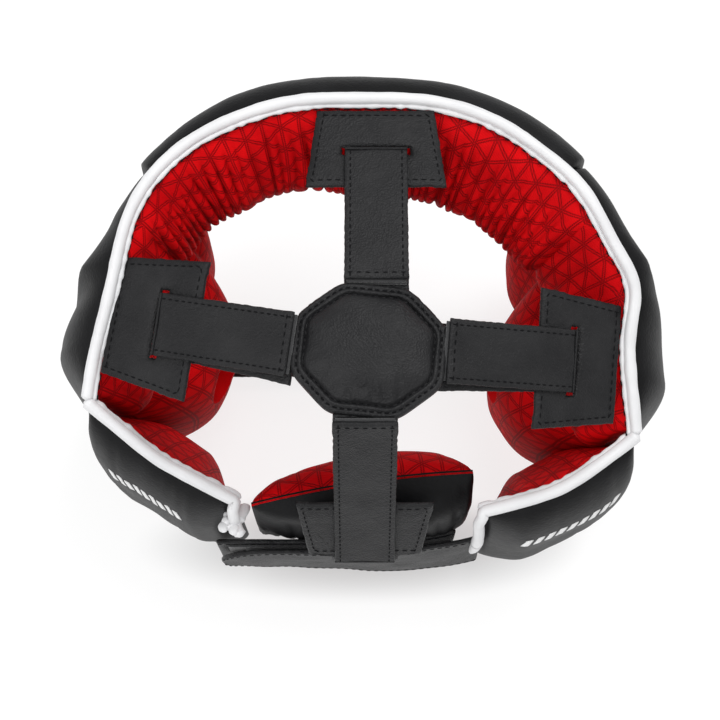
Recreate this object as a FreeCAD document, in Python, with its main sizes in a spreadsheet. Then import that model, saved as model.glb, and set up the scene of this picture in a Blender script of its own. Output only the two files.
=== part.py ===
"""Padded boxing headgear with cheek guards: panels, crown straps, wings and rear closure.

Millimetres. +Z is up, the forehead faces -Y, and the wearer's left is +X. The origin is on
the floor under the middle of the headgear, which stands on the bottom of its side pads.
"""
import FreeCAD, Part
import os
import re

import Sketcher

DOC = FreeCAD.newDocument("headgear")
SHEET = DOC.addObject("Spreadsheet::Sheet", "Sizes")

SIZES = {
    # Seam line in plan: a shallow front arc, a tight temple arc and a straight side.
    "front_radius": 229,
    "front_centre_y": 147,
    "front_half_angle": 6,
    "temple_radius": 93,
    "seam_angle": 48,
    "left_turn": 82,
    "right_turn": 82,
    "left_corner_y": 38,
    "right_corner_y": 48,
    "left_wing_turn": 148.4,
    "right_wing_turn": 153,
    "left_wing_length": 68,
    "right_wing_length": 68.5,
    "corner_relief": 26,
    "hinge_offset": 6,
    # Panel thickness, measured out and in from the seam line.
    "forehead_bulge": 18,
    "side_bulge": 20,
    "inner_depth": 22,
    "wing_depth": 17,
    "skin": 2,
    "layer_gap": 0.1,
    "seam_gap": 0.5,
    "seam_turn_gap": 0.3,
    # Heights.
    "top_line": 165,
    "forehead_bottom": 112,
    "kink_y": -37,
    "side_slope": 0.4,
    "wing_slope": 0.75,
    "wing_bottom": 8,
    "cheek_top": 108,
    "cheek_front_angle": 38,
    "cheek_rear_y": -9,
    "jaw_rear_y": -40,
    "jaw_front_y": -64,
    "jaw_level": 34,
    "ear_y": 8,
    "ear_height": 60,
    "ear_hole_radius": 13,
    "piping_radius": 3.5,
    # Inner cushions beside the ears.
    "ear_pad_front_y": -31,
    "ear_pad_rear_y": 32,
    "ear_pad_radius": 39,
    "ear_pad_height": 98,
    # Rear pad and closure.
    "rear_pad_left": 42,
    "rear_pad_right": -44,
    "rear_pad_front": 68,
    "rear_pad_curve": 90,
    "rear_pad_back": 85,
    "rear_pad_bottom": 36,
    "rear_pad_top": 106,
    "band_bottom": 30,
    "band_width": 44,
    "band_left": 60,
    "band_right": -42,
    "closure_left": 62,
    "closure_right": -57.5,
    "closure_y": 90.2,
    # Crown straps and their tabs, in the local frame of each fold.
    "strap_width": 25.4,
    "strap_thickness": 2,
    "tab_level": 2.3,
    "tab_thickness": 2.2,
    "flap_level": 4.8,
    "hook_thickness": 1.2,
    "fold_depth": 2,
    "fold_gap": 0.3,
    "tab_inner": 16,
    "rear_tab_inner": 38,
    "tab_inner_width": 57,
    "tab_outer_width": 48,
    "slot_length": 27,
    "slot_clearance": 0.5,
    "hook_margin": 2,
    # Crown pad.
    "crown_x": -3.5,
    "crown_y": 28,
    "crown_level": 180.5,
    "crown_half_width": 29.5,
    "crown_half_length": 26,
    "crown_edge_x": 13.5,
    "crown_edge_y": 11.5,
    "crown_height": 8,
    # Chin strap.
    "chin_y": -15,
    "chin_level": 12,
    "chin_left": 61,
    "chin_right": -20,
    "chin_hinge": -51,
    "chin_tail": 14,
    "chin_stub": 10,
}

for row, (alias, value) in enumerate(SIZES.items(), start=1):
    SHEET.set(f"A{row}", alias)
    SHEET.set(f"B{row}", str(value))
    SHEET.setAlias(f"B{row}", alias)
DOC.recompute()

LEFT = "left"
RIGHT = "right"
SIDES = {LEFT: 1, RIGHT: -1}
SUBPARTS = []


def bound(text):
    """Turn an expression on size names into one on the sheet's cells."""
    return re.sub(r"[a-z_]+", lambda m: f"Sizes.{m.group()}" if m.group() in SIZES else m.group(), str(text))


def value(text):
    """Work out an expression on size names."""
    result = SHEET.evalExpression(bound(text))
    return float(getattr(result, "Value", result))


def keep(item, label):
    """Name a finished sub-part after its node."""
    item.Label = label
    SUBPARTS.append(item)
    return item


def new_body(label):
    """Start a PartDesign body that becomes a sub-part."""
    return keep(DOC.addObject("PartDesign::Body", "Body_" + label), label)


def plane(body, role):
    """Find one of the body's own origin planes."""
    return next(feature for feature in body.Origin.OriginFeatures if feature.Role == role)


def new_sketch(body, name, role, level="0"):
    """Attach a sketch to an origin plane, lifted by a bound distance."""
    sketch = body.newObject("Sketcher::SketchObject", name)
    sketch.AttachmentSupport = (plane(body, role), [""])
    sketch.MapMode = "FlatFace"
    sketch.setExpression(".AttachmentOffset.Base.z", bound(level))
    return sketch


def fix_point(sketch, edge, vertex, point):
    """Hold a sketch vertex at a bound place from the origin."""
    for kind, text in zip(("DistanceX", "DistanceY"), point):
        index = sketch.addConstraint(Sketcher.Constraint(kind, -1, 1, edge, vertex, value(text)))
        sketch.setExpression(f"Constraints[{index}]", bound(text))


def arc_between(start, end, radius):
    """Arc from start to end, counter-clockwise for a positive radius."""
    chord = end - start
    half = chord.Length / 2
    across = FreeCAD.Vector(-chord.y, chord.x, 0).normalize()
    reach = (radius * radius - half * half) ** 0.5
    middle = start + chord / 2 - across * ((abs(radius) - reach) * (1 if radius > 0 else -1))
    return Part.Arc(start, middle, end)


def outline(sketch, corners, arcs=None):
    """Draw a closed outline; arcs maps an edge number to its signed bound radius."""
    arcs = arcs or {}
    points = [FreeCAD.Vector(value(x), value(y), 0) for x, y in corners]
    starts = []
    for number, start in enumerate(points):
        end = points[(number + 1) % len(points)]
        if number not in arcs:
            sketch.addGeometry(Part.LineSegment(start, end))
            starts.append((number, 1, 2))
            continue
        radius = value(arcs[number])
        sketch.addGeometry(arc_between(start, end, radius))
        starts.append((number, 1, 2) if radius > 0 else (number, 2, 1))
    for number, first, last in starts:
        following, entry, _ = starts[(number + 1) % len(starts)]
        sketch.addConstraint(Sketcher.Constraint("Coincident", number, last, following, entry))
    for number, first, _ in starts:
        fix_point(sketch, number, first, corners[number])
    for number, text in arcs.items():
        index = sketch.addConstraint(Sketcher.Constraint("Radius", number, abs(value(text))))
        sketch.setExpression(f"Constraints[{index}]", bound(f"abs({text})"))


def circle(sketch, centre, radius):
    """Draw a bound circle."""
    middle = FreeCAD.Vector(value(centre[0]), value(centre[1]), 0)
    edge = sketch.addGeometry(Part.Circle(middle, FreeCAD.Vector(0, 0, 1), value(radius)))
    fix_point(sketch, edge, 3, centre)
    index = sketch.addConstraint(Sketcher.Constraint("Radius", edge, value(radius)))
    sketch.setExpression(f"Constraints[{index}]", bound(radius))


def pad(body, name, corners, arcs, level, height):
    """Pad an outline up from a level."""
    sketch = new_sketch(body, "Sketch_" + name, "XY_Plane", level)
    outline(sketch, corners, arcs)
    feature = body.newObject("PartDesign::Pad", "Pad_" + name)
    feature.Profile = sketch
    feature.setExpression("Length", bound(height))
    return feature


def cut(body, name, role, draw):
    """Cut right through the body both ways with what draw puts in the sketch."""
    sketch = new_sketch(body, "Sketch_" + name, role)
    draw(sketch)
    feature = body.newObject("PartDesign::Pocket", "Pocket_" + name)
    feature.Profile = sketch
    feature.Type = "ThroughAll"
    feature.Midplane = True
    return feature


def polar(x, y, radius, angle):
    """Point at a bearing from -Y, turning towards +X."""
    return f"{x} + ({radius}) * sin({angle})", f"{y} - ({radius}) * cos({angle})"


def mirrored(points, side):
    """Mirror points to the wearer's right when asked."""
    if side == LEFT:
        return points
    return [(f"-({x})", y) for x, y in points]


def mirrored_arcs(arcs, side):
    """Flip the turning sense of arcs on the mirrored side."""
    if side == LEFT:
        return arcs
    return {edge: f"-({text})" for edge, text in arcs.items()}


# Cuts run to these places, clear of every panel.
FAR_FRONT = "-150"
FAR_BACK = "150"
UNDER = "-5"
OVER = "260"

TEMPLE_X = "((front_radius - temple_radius) * sin(front_half_angle))"
TEMPLE_Y = "(front_centre_y - (front_radius - temple_radius) * cos(front_half_angle))"


def on_temple(offset, angle):
    """Point on the temple arc, moved outwards by an offset."""
    return polar(TEMPLE_X, TEMPLE_Y, f"temple_radius + {offset}", angle)


def on_temple_at(offset, y):
    """Point on the temple arc, moved outwards, where it crosses a given y."""
    return on_temple(offset, f"acos(({TEMPLE_Y} - ({y})) / (temple_radius + {offset}))")


def on_side(side, offset, y):
    """Point on the straight side, moved outwards, where it crosses a given y."""
    turn = f"{side}_turn"
    x, start_y = on_temple(offset, turn)
    return f"{x} + ({y} - ({start_y})) / tan({turn})", y


def corner(side, offset):
    """Mitre point between side and wing at an offset from the seam line."""
    x, y = on_side(side, "0", f"{side}_corner_y")
    reach = f"({offset}) / cos(({side}_wing_turn - {side}_turn) / 2)"
    return polar(x, y, reach, f"({side}_wing_turn + {side}_turn) / 2")


def along(point, angle, distance):
    """Move a point along a side whose outward bearing is angle."""
    return f"{point[0]} + ({distance}) * cos({angle})", f"{point[1]} + ({distance}) * sin({angle})"


def forehead_outline(inner, outer):
    """Front band between two offsets, from one temple seam to the other."""
    left = [
        polar("0", "front_centre_y", f"front_radius + {outer}", "front_half_angle"),
        on_temple(outer, "seam_angle"),
        on_temple(inner, "seam_angle"),
        polar("0", "front_centre_y", f"front_radius + {inner}", "front_half_angle"),
    ]
    right = mirrored(left, RIGHT)
    corners = [right[1], right[0], left[0], left[1], left[2], left[3], right[3], right[2]]
    arcs = {
        0: f"temple_radius + {outer}",
        1: f"front_radius + {outer}",
        2: f"temple_radius + {outer}",
        4: f"-(temple_radius + {inner})",
        5: f"-(front_radius + {inner})",
        6: f"-(temple_radius + {inner})",
    }
    return corners, arcs


def side_outline(side, inner, outer):
    """Side band from the temple seam to the mitred corner, relieved outside the hinge."""
    turn = f"{side}_turn"
    start = "seam_angle + seam_turn_gap"
    corners = [on_temple(outer, start), on_temple(outer, turn)]
    relieved = along(corner(side, outer), turn, "-corner_relief")
    if value(outer) < value("hinge_offset"):
        corners += [corner(side, outer), corner(side, inner)]
    elif value(inner) < value("hinge_offset"):
        corners += [relieved, corner(side, "hinge_offset"), corner(side, inner)]
    else:
        corners += [relieved, along(corner(side, inner), turn, "-corner_relief * 0.9")]
    corners += [on_temple(inner, turn), on_temple(inner, start)]
    arcs = {0: f"temple_radius + {outer}", len(corners) - 2: f"-(temple_radius + {inner})"}
    return mirrored(corners, side), mirrored_arcs(arcs, side)


def cheek_outline(side, inner, outer):
    """Cheek band below the forehead, round the temple arc and back to the side panel."""
    corners = [
        on_temple(outer, "cheek_front_angle"),
        on_temple_at(outer, "cheek_rear_y"),
        on_temple_at(inner, "cheek_rear_y"),
        on_temple(inner, "cheek_front_angle"),
    ]
    arcs = {0: f"temple_radius + {outer}", 2: f"-(temple_radius + {inner})"}
    return mirrored(corners, side), mirrored_arcs(arcs, side)


def wing_outline(side, inner, outer):
    """Wing slab from the mitred corner to its free end, relieved outside the hinge."""
    turn = f"{side}_wing_turn"
    root = on_side(side, "0", f"{side}_corner_y")
    end = along(root, turn, f"{side}_wing_length")
    corners = []
    if value(outer) > value("hinge_offset"):
        corners.append(along(corner(side, outer), turn, "corner_relief"))
    else:
        corners.append(along(corner(side, outer), turn, "seam_gap"))
    corners.append(polar(end[0], end[1], outer, turn))
    corners.append(polar(end[0], end[1], inner, turn))
    if value(inner) < value("hinge_offset"):
        corners.append(along(corner(side, inner), turn, "seam_gap"))
        if value(outer) > value("hinge_offset"):
            corners.append(along(corner(side, "hinge_offset"), turn, "seam_gap"))
    else:
        corners.append(along(corner(side, inner), turn, "corner_relief * 0.9"))
    return mirrored(corners, side), {}


def slope_cut(body, start_y, start_z, slope):
    """Cut off everything above a line that falls towards the back."""
    corners = [
        (FAR_FRONT, start_z),
        (start_y, start_z),
        (FAR_BACK, f"{start_z} - {slope} * ({FAR_BACK} - ({start_y}))"),
        (FAR_BACK, OVER),
        (FAR_FRONT, OVER),
    ]
    cut(body, "top_line", "YZ_Plane", lambda sketch: outline(sketch, corners))


def cheek_cut(body):
    """Leave the room of the cheek guard free below the temple."""
    corners = [
        (FAR_FRONT, UNDER),
        ("cheek_rear_y + seam_gap", UNDER),
        ("cheek_rear_y + seam_gap", "cheek_top + seam_gap"),
        (FAR_FRONT, "cheek_top + seam_gap"),
    ]
    cut(body, "cheek_room", "YZ_Plane", lambda sketch: outline(sketch, corners))


def ear_cut(body):
    """Bore the ear opening through the side."""
    cut(body, "ear", "YZ_Plane", lambda sketch: circle(sketch, ("ear_y", "ear_height"), "ear_hole_radius"))


def jaw_cut(body):
    """Slope the front lower corner of the cheek guard away."""
    corners = [
        (FAR_FRONT, UNDER),
        ("jaw_rear_y", UNDER),
        ("jaw_front_y", "jaw_level"),
        (FAR_FRONT, "2 * jaw_level"),
    ]
    cut(body, "jaw", "YZ_Plane", lambda sketch: outline(sketch, corners))


def layers(bulge, depth):
    """Cover, foam and lining as offsets from the seam line."""
    return {
        "cover": (f"({bulge} - skin)", f"{bulge}"),
        "foam": (f"(-{depth} + skin + layer_gap)", f"({bulge} - skin - layer_gap)"),
        "lining": (f"(-{depth})", f"(-{depth} + skin)"),
    }


def make_forehead():
    """Forehead panel: leather cover, foam slab and lining."""
    for layer, (inner, outer) in layers("forehead_bulge", "inner_depth").items():
        corners, arcs = forehead_outline(inner, outer)
        body = new_body(f"forehead_{layer}")
        pad(body, "band", corners, arcs, "forehead_bottom", "top_line - forehead_bottom")


def make_side(side):
    """Side panel over the temple and the ear."""
    for layer, (inner, outer) in layers("side_bulge", "inner_depth").items():
        corners, arcs = side_outline(side, inner, outer)
        body = new_body(f"{side}_side_{layer}")
        pad(body, "band", corners, arcs, "0", "top_line")
        slope_cut(body, "kink_y", "top_line", "side_slope")
        cheek_cut(body)
        ear_cut(body)


def make_cheek(side):
    """Cheek guard in front of the side panel."""
    for layer, (inner, outer) in layers("side_bulge", "inner_depth").items():
        corners, arcs = cheek_outline(side, inner, outer)
        body = new_body(f"{side}_cheek_{layer}")
        pad(body, "band", corners, arcs, "0", "cheek_top")
        jaw_cut(body)


def ear_pad_outline(side, inset):
    """Inner cushion in plan: its back follows the lining, its front bulges inwards."""
    offset = "(-inner_depth - layer_gap)"
    corners = [
        on_temple_at(offset, f"ear_pad_front_y + 2 * {inset}"),
        on_temple(offset, f"{side}_turn"),
        on_side(side, offset, f"ear_pad_rear_y - 2 * {inset}"),
    ]
    arcs = {0: f"temple_radius + {offset}", 2: f"(ear_pad_radius - {inset})"}
    return mirrored(corners, side), mirrored_arcs(arcs, side)


def make_ear_pad(side):
    """Round inner cushion beside the ear: a foam core in a lining skin."""
    ends, bulge = ear_pad_outline(side, "0")
    core_ends, core_bulge = ear_pad_outline(side, "skin")
    foam = new_body(f"{side}_ear_pad_foam")
    pad(foam, "core", core_ends, core_bulge, "0", "ear_pad_height - skin")
    ear_cut(foam)
    skin = new_body(f"{side}_ear_pad_lining")
    pad(skin, "shell", ends, bulge, "0", "ear_pad_height")
    sketch = new_sketch(skin, "Sketch_core", "XY_Plane", "ear_pad_height - skin")
    outline(sketch, core_ends, core_bulge)
    hollow = skin.newObject("PartDesign::Pocket", "Pocket_core")
    hollow.Profile = sketch
    hollow.Type = "ThroughAll"
    ear_cut(skin)


def make_wing(side):
    """Wing behind the ear."""
    for layer, (inner, outer) in layers("side_bulge", "wing_depth").items():
        corners, arcs = wing_outline(side, inner, outer)
        body = new_body(f"{side}_wing_{layer}")
        pad(body, "slab", corners, arcs, "wing_bottom", "top_line - wing_bottom")
        slope_cut(body, f"{side}_corner_y", corner_level(side), "wing_slope")


def corner_level(side):
    """Height of the top line where side and wing meet."""
    return f"(top_line - side_slope * ({side}_corner_y - kink_y))"


def primitive(kind, name, sizes, place, turn=None):
    """Part primitive with bound sizes at a worked-out place."""
    item = DOC.addObject(kind, name)
    for key, text in sizes.items():
        item.setExpression(key, bound(text))
    item.Placement = FreeCAD.Placement(place, turn or FreeCAD.Rotation())
    return item


def point_at(point, level):
    """Vector of a bound plan point at a bound height."""
    return FreeCAD.Vector(value(point[0]), value(point[1]), value(level))


def bead(name, ends):
    """Straight round bead between two points."""
    start, end = ends
    axis = end - start
    turn = FreeCAD.Rotation(FreeCAD.Vector(0, 0, 1), axis)
    rod = primitive("Part::Cylinder", name, {"Radius": "piping_radius"}, start, turn)
    rod.Height = axis.Length
    return rod


def grouped(label, pieces):
    """Group separate solids of one kind into one sub-part."""
    item = DOC.addObject("Part::Compound", "Group_" + label)
    item.Links = pieces
    return keep(item, label)


def piping_level(level):
    """Height of the piping's centre above a panel's top line."""
    return f"({level}) + piping_radius + seam_gap"


def make_top_piping():
    """Piping along the forehead and down both sides: torus runs and a straight run each side."""
    level = value(piping_level("top_line"))
    half = value("front_half_angle")
    sizes = {"Radius1": "front_radius", "Radius2": "piping_radius", "Angle3": "2 * front_half_angle"}
    centre = FreeCAD.Vector(0, value("front_centre_y"), level)
    runs = [primitive("Part::Torus", "front_bead", sizes, centre, FreeCAD.Rotation(-90 - half, 0, 0))]
    for side, sign in SIDES.items():
        centre = FreeCAD.Vector(sign * value(TEMPLE_X), value(TEMPLE_Y), level)
        bearing = half - 90 if side == LEFT else -90 - value(f"{side}_turn")
        sizes = {
            "Radius1": "temple_radius",
            "Radius2": "piping_radius",
            "Angle3": f"{side}_turn - front_half_angle",
        }
        runs.append(primitive("Part::Torus", side + "_bead", sizes, centre, FreeCAD.Rotation(bearing, 0, 0)))
        top = mirrored([along(on_temple("0", f"{side}_turn"), f"{side}_turn", "piping_radius / 2")], side)[0]
        low = mirrored([along(corner(side, "0"), f"{side}_turn", "-seam_gap")], side)[0]
        ends = [point_at(top, piping_level("top_line")), point_at(low, piping_level(corner_level(side)))]
        runs.append(bead(side + "_side_bead", ends))
    grouped("top_piping", runs)


def make_wing_piping(side):
    """Piping along the top of a wing."""
    turn = f"{side}_wing_turn"
    start = along(corner(side, "0"), turn, "piping_radius * 2 + seam_gap")
    end = along(corner(side, "0"), turn, f"{side}_wing_length")
    ends = []
    for point in (start, end):
        level = f"{corner_level(side)} - wing_slope * ({point[1]} - {side}_corner_y)"
        ends.append(point_at(mirrored([point], side)[0], piping_level(level)))
    for end_point in ends:
        end_point.z += value("piping_radius")
    keep(bead(f"{side}_wing_bead", ends), f"{side}_wing_piping")


def station(origin, heading, incline, tilt):
    """Local frame of a strap: u towards the crown, v across, n up from the strap."""
    turn = FreeCAD.Rotation(FreeCAD.Vector(0, 0, 1), heading)
    turn = turn.multiply(FreeCAD.Rotation(FreeCAD.Vector(0, 1, 0), -incline))
    turn = turn.multiply(FreeCAD.Rotation(FreeCAD.Vector(1, 0, 0), tilt))
    return FreeCAD.Placement(FreeCAD.Vector(*origin), turn)


STATIONS = {
    "front": {"place": station((-6.5, -57, 168.6), 90, 11.5, 0), "length": 60, "root": -20, "reach": "tab_inner"},
    "left": {"place": station((78.6, 11, 158), 165, 23, 15), "length": 57, "root": -24, "reach": "tab_inner"},
    "right": {"place": station((-83.2, 24.7, 153.5), 3, 28, -15), "length": 56, "root": -23, "reach": "tab_inner"},
    "rear": {"place": station((-2, 92, 90), -90, 67, 0), "length": 97, "root": -9, "reach": "rear_tab_inner"},
}


def rectangle(start, end, half_width):
    """Corners of a strip along u, centred across."""
    return [(start, f"-({half_width})"), (end, f"-({half_width})"), (end, half_width), (start, half_width)]


def strip(label, place, start, end, half_width, level, height):
    """Flat strip as a body of its own."""
    body = new_body(label)
    pad(body, "strip", rectangle(start, end, half_width), None, level, height)
    body.Placement = place
    return body


def make_tab(name, spot):
    """Leather tab with a slot for its crown strap, wider at its inner edge."""
    root = str(spot["root"])
    body = new_body(f"{name}_tab")
    corners = [
        (root, "-tab_outer_width / 2"),
        (spot["reach"], "-tab_inner_width / 2"),
        (spot["reach"], "tab_inner_width / 2"),
        (root, "tab_outer_width / 2"),
    ]
    pad(body, "plate", corners, None, "tab_level", "tab_thickness")
    slot = new_sketch(body, "Sketch_slot", "XY_Plane", "tab_level")
    slot_ends = ("-fold_depth - slot_clearance", "slot_clearance")
    outline(slot, rectangle(*slot_ends, "slot_length / 2"))
    opening = body.newObject("PartDesign::Pocket", "Pocket_slot")
    opening.Profile = slot
    opening.Type = "ThroughAll"
    opening.Midplane = True
    body.Placement = spot["place"]


def make_strap(name, spot):
    """Crown strap with its fold through the tab, and the flap that lies back on it."""
    place = spot["place"]
    length = str(spot["length"])
    half = "strap_width / 2"
    body = strip(f"{name}_strap", place, "-fold_depth", length, half, "0", "strap_thickness")
    fold = rectangle("-fold_depth", "0", half)
    pad(body, "fold", fold, None, "0", "flap_level + strap_thickness")
    strip(f"{name}_flap", place, "fold_gap", length + " - 3", half, "flap_level", "strap_thickness")
    hook_level = "flap_level - hook_thickness"
    hook_start = spot["reach"] + " + hook_margin"
    strip(f"{name}_hook", place, hook_start, length + " - 5", half + " - 1", hook_level, "hook_thickness")
    loop = primitive("Part::Box", name + "_loop_strip", {
        "Length": f"{length} - 3 - ({hook_start})",
        "Width": "strap_width - 2",
        "Height": "hook_thickness - seam_gap / 2",
    }, FreeCAD.Vector())
    inset = FreeCAD.Vector(value(hook_start), -value("strap_width") / 2 + 1, value("strap_thickness"))
    loop.Placement = place.multiply(FreeCAD.Placement(inset, FreeCAD.Rotation()))
    return loop


def crown_outline(inset):
    """Long octagon of the crown pad, drawn in by an inset."""
    wide = f"(crown_half_width - {inset})"
    long = f"(crown_half_length - {inset})"
    edge_x = f"(crown_edge_x - {inset} * 0.4)"
    edge_y = f"(crown_edge_y - {inset} * 0.4)"
    return [
        (wide, f"-{edge_y}"), (wide, edge_y), (edge_x, long), (f"-{edge_x}", long),
        (f"-{wide}", edge_y), (f"-{wide}", f"-{edge_y}"), (f"-{edge_x}", f"-{long}"), (edge_x, f"-{long}"),
    ]


def make_crown():
    """Crown pad: base leather, foam and a cover closed round the foam."""
    place = FreeCAD.Placement(
        FreeCAD.Vector(value("crown_x"), value("crown_y"), value("crown_level")), FreeCAD.Rotation(-6, 0, 0))
    base = new_body("crown_base")
    pad(base, "plate", crown_outline("0"), None, "0", "skin")
    foam = new_body("crown_foam")
    pad(foam, "core", crown_outline("3"), None, "skin", "crown_height - skin")
    cover = new_body("crown_cover")
    pad(cover, "cap", crown_outline("0"), None, "skin", "crown_height")
    hollow = new_sketch(cover, "Sketch_hollow", "XY_Plane", "crown_height")
    outline(hollow, crown_outline("3"))
    pocket = cover.newObject("PartDesign::Pocket", "Pocket_hollow")
    pocket.Profile = hollow
    pocket.setExpression("Length", bound("crown_height - skin"))
    for body in (base, foam, cover):
        body.Placement = place


def rear_outline(front, back):
    """Rear pad in plan: its front bows towards the head."""
    corners = [
        ("rear_pad_right", front),
        ("rear_pad_left", front),
        ("rear_pad_left", back),
        ("rear_pad_right", back),
    ]
    return corners, {0: "-(rear_pad_curve)"}


def make_rear_pad():
    """Pad under the back of the head: lining, foam and leather cover."""
    height = "rear_pad_top - rear_pad_bottom"
    foam = new_body("rear_pad_foam")
    pad(foam, "core", *rear_outline("rear_pad_front + skin", "rear_pad_back - skin"), "rear_pad_bottom", height)
    lining = new_body("rear_pad_lining")
    front = [
        ("rear_pad_right", "rear_pad_front"),
        ("rear_pad_left", "rear_pad_front"),
        ("rear_pad_left", "rear_pad_front + skin - layer_gap"),
        ("rear_pad_right", "rear_pad_front + skin - layer_gap"),
    ]
    bows = {0: "-(rear_pad_curve)", 2: "rear_pad_curve"}
    pad(lining, "skin", front, bows, "rear_pad_bottom", height)
    cover = new_body("rear_pad_cover")
    back = [
        ("rear_pad_right", "rear_pad_back - skin + layer_gap"),
        ("rear_pad_left", "rear_pad_back - skin + layer_gap"),
        ("rear_pad_left", "rear_pad_back"),
        ("rear_pad_right", "rear_pad_back"),
    ]
    pad(cover, "skin", back, None, "rear_pad_bottom", height)


def plate(label, start, end, low_y, thickness, inset="0"):
    """Upright strip across the back, between two x values."""
    body = new_body(label)
    corners = [(start, low_y), (end, low_y), (end, f"{low_y} + {thickness}"), (start, f"{low_y} + {thickness}")]
    pad(body, "strip", corners, None, f"band_bottom + {inset}", f"band_width - 2 * {inset}")


def make_closure():
    """Rear band with its loop patch, and the closure strap with its hook patch."""
    band_y = "rear_pad_back + seam_gap"
    plate("rear_band", "band_right", "band_left", band_y, "skin")
    plate("rear_loop", "band_right + 2", "band_left - 2", f"{band_y} + skin", "hook_thickness", "3")
    plate("closure_strap", "closure_right", "closure_left", "closure_y", "strap_thickness")
    plate("closure_hook", "band_right + 2", "closure_left - 4", "closure_y - hook_thickness", "hook_thickness", "3")


def make_chin_strap():
    """Chin strap under the jaw, and the tail that closes over it."""
    middle = FreeCAD.Placement(FreeCAD.Vector(0, value("chin_y"), value("chin_level")), FreeCAD.Rotation())
    half = "strap_width / 2"
    strip("chin_strap", middle, "chin_right", "chin_left", half, "0", "strap_thickness")
    strip("chin_loop", middle, "chin_right + 2", "chin_tail + 4", f"{half} - 1", "strap_thickness", "hook_thickness")
    upper = "strap_thickness + 2 * hook_thickness + seam_gap"
    strip("chin_tail", middle, "chin_hinge", "chin_tail", half, upper, "strap_thickness")
    strip("chin_hook", middle, "chin_right + 2", "chin_tail - 2", f"{half} - 1",
          f"{upper} - hook_thickness", "hook_thickness")
    stub = "chin_hinge - chin_stub"
    strip("chin_anchor", middle, stub, "chin_hinge - fold_gap", half, upper, "strap_thickness")


make_forehead()
for side_name in SIDES:
    make_side(side_name)
    make_cheek(side_name)
    make_ear_pad(side_name)
    make_wing(side_name)
    make_wing_piping(side_name)
make_top_piping()
loops = []
for strap_name, spot_of_strap in STATIONS.items():
    make_tab(strap_name, spot_of_strap)
    loops.append(make_strap(strap_name, spot_of_strap))
grouped("crown_loops", loops)
make_crown()
make_rear_pad()
make_closure()
make_chin_strap()
DOC.recompute()

FAILED = [item.Name for item in DOC.Objects if {"Invalid", "Error"} & set(item.State)]
FAILED += [item.Label for item in SUBPARTS if item.Shape.isNull() or not item.Shape.isValid()]
if FAILED:
    raise RuntimeError(f"failed objects: {FAILED}")

os.makedirs("parts", exist_ok=True)
for item in SUBPARTS:
    item.Shape.exportStep(f"parts/{item.Label}.step")
print(len(SUBPARTS), "sub-parts written")
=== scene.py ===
"""Looks of a padded boxing headgear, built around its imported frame.

The headgear is sewn from puffed black leather covers, a red printed twill lining and white
piping. Four slotted tabs carry crown straps that meet at a stuffed octagon. Everything is in
metres in the frame's own axes: +Z up, forehead towards -Y, the wearer's left towards +X.
"""

import logging
import math
from dataclasses import dataclass, field
from enum import Enum
from typing import Callable, Dict, List, Optional, Sequence, Tuple

import bmesh
import bpy
import numpy as np
from mathutils import Matrix, Vector


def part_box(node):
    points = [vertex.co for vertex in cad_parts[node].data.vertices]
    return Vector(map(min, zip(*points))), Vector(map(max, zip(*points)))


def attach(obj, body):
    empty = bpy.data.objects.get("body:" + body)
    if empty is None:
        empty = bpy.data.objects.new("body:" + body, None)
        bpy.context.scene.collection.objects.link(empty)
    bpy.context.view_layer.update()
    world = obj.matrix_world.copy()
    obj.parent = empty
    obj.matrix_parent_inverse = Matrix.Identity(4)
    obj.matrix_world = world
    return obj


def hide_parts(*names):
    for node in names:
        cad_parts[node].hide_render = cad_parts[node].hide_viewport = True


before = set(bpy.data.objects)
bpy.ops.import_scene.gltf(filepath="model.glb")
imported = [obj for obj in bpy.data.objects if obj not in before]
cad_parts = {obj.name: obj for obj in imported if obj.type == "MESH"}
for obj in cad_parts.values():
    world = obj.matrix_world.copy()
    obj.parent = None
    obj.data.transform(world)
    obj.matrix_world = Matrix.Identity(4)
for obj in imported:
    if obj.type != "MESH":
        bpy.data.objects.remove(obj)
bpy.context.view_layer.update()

LOG = logging.getLogger("headgear")
MM = 0.001
Array = np.ndarray
Plan = Callable[[Array], Tuple[Array, Array]]
Place = Callable[[Array], Array]


class Side(Enum):
    """Side of the wearer."""

    LEFT = "left"
    RIGHT = "right"

    @property
    def sign(self) -> int:
        """Direction of the side along X."""
        return 1 if self is Side.LEFT else -1


class Face(Enum):
    """Which way a cushion swells from the seam line."""

    OUTER = 1
    INNER = -1


# ---------------------------------------------------------------- shader maths


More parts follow.
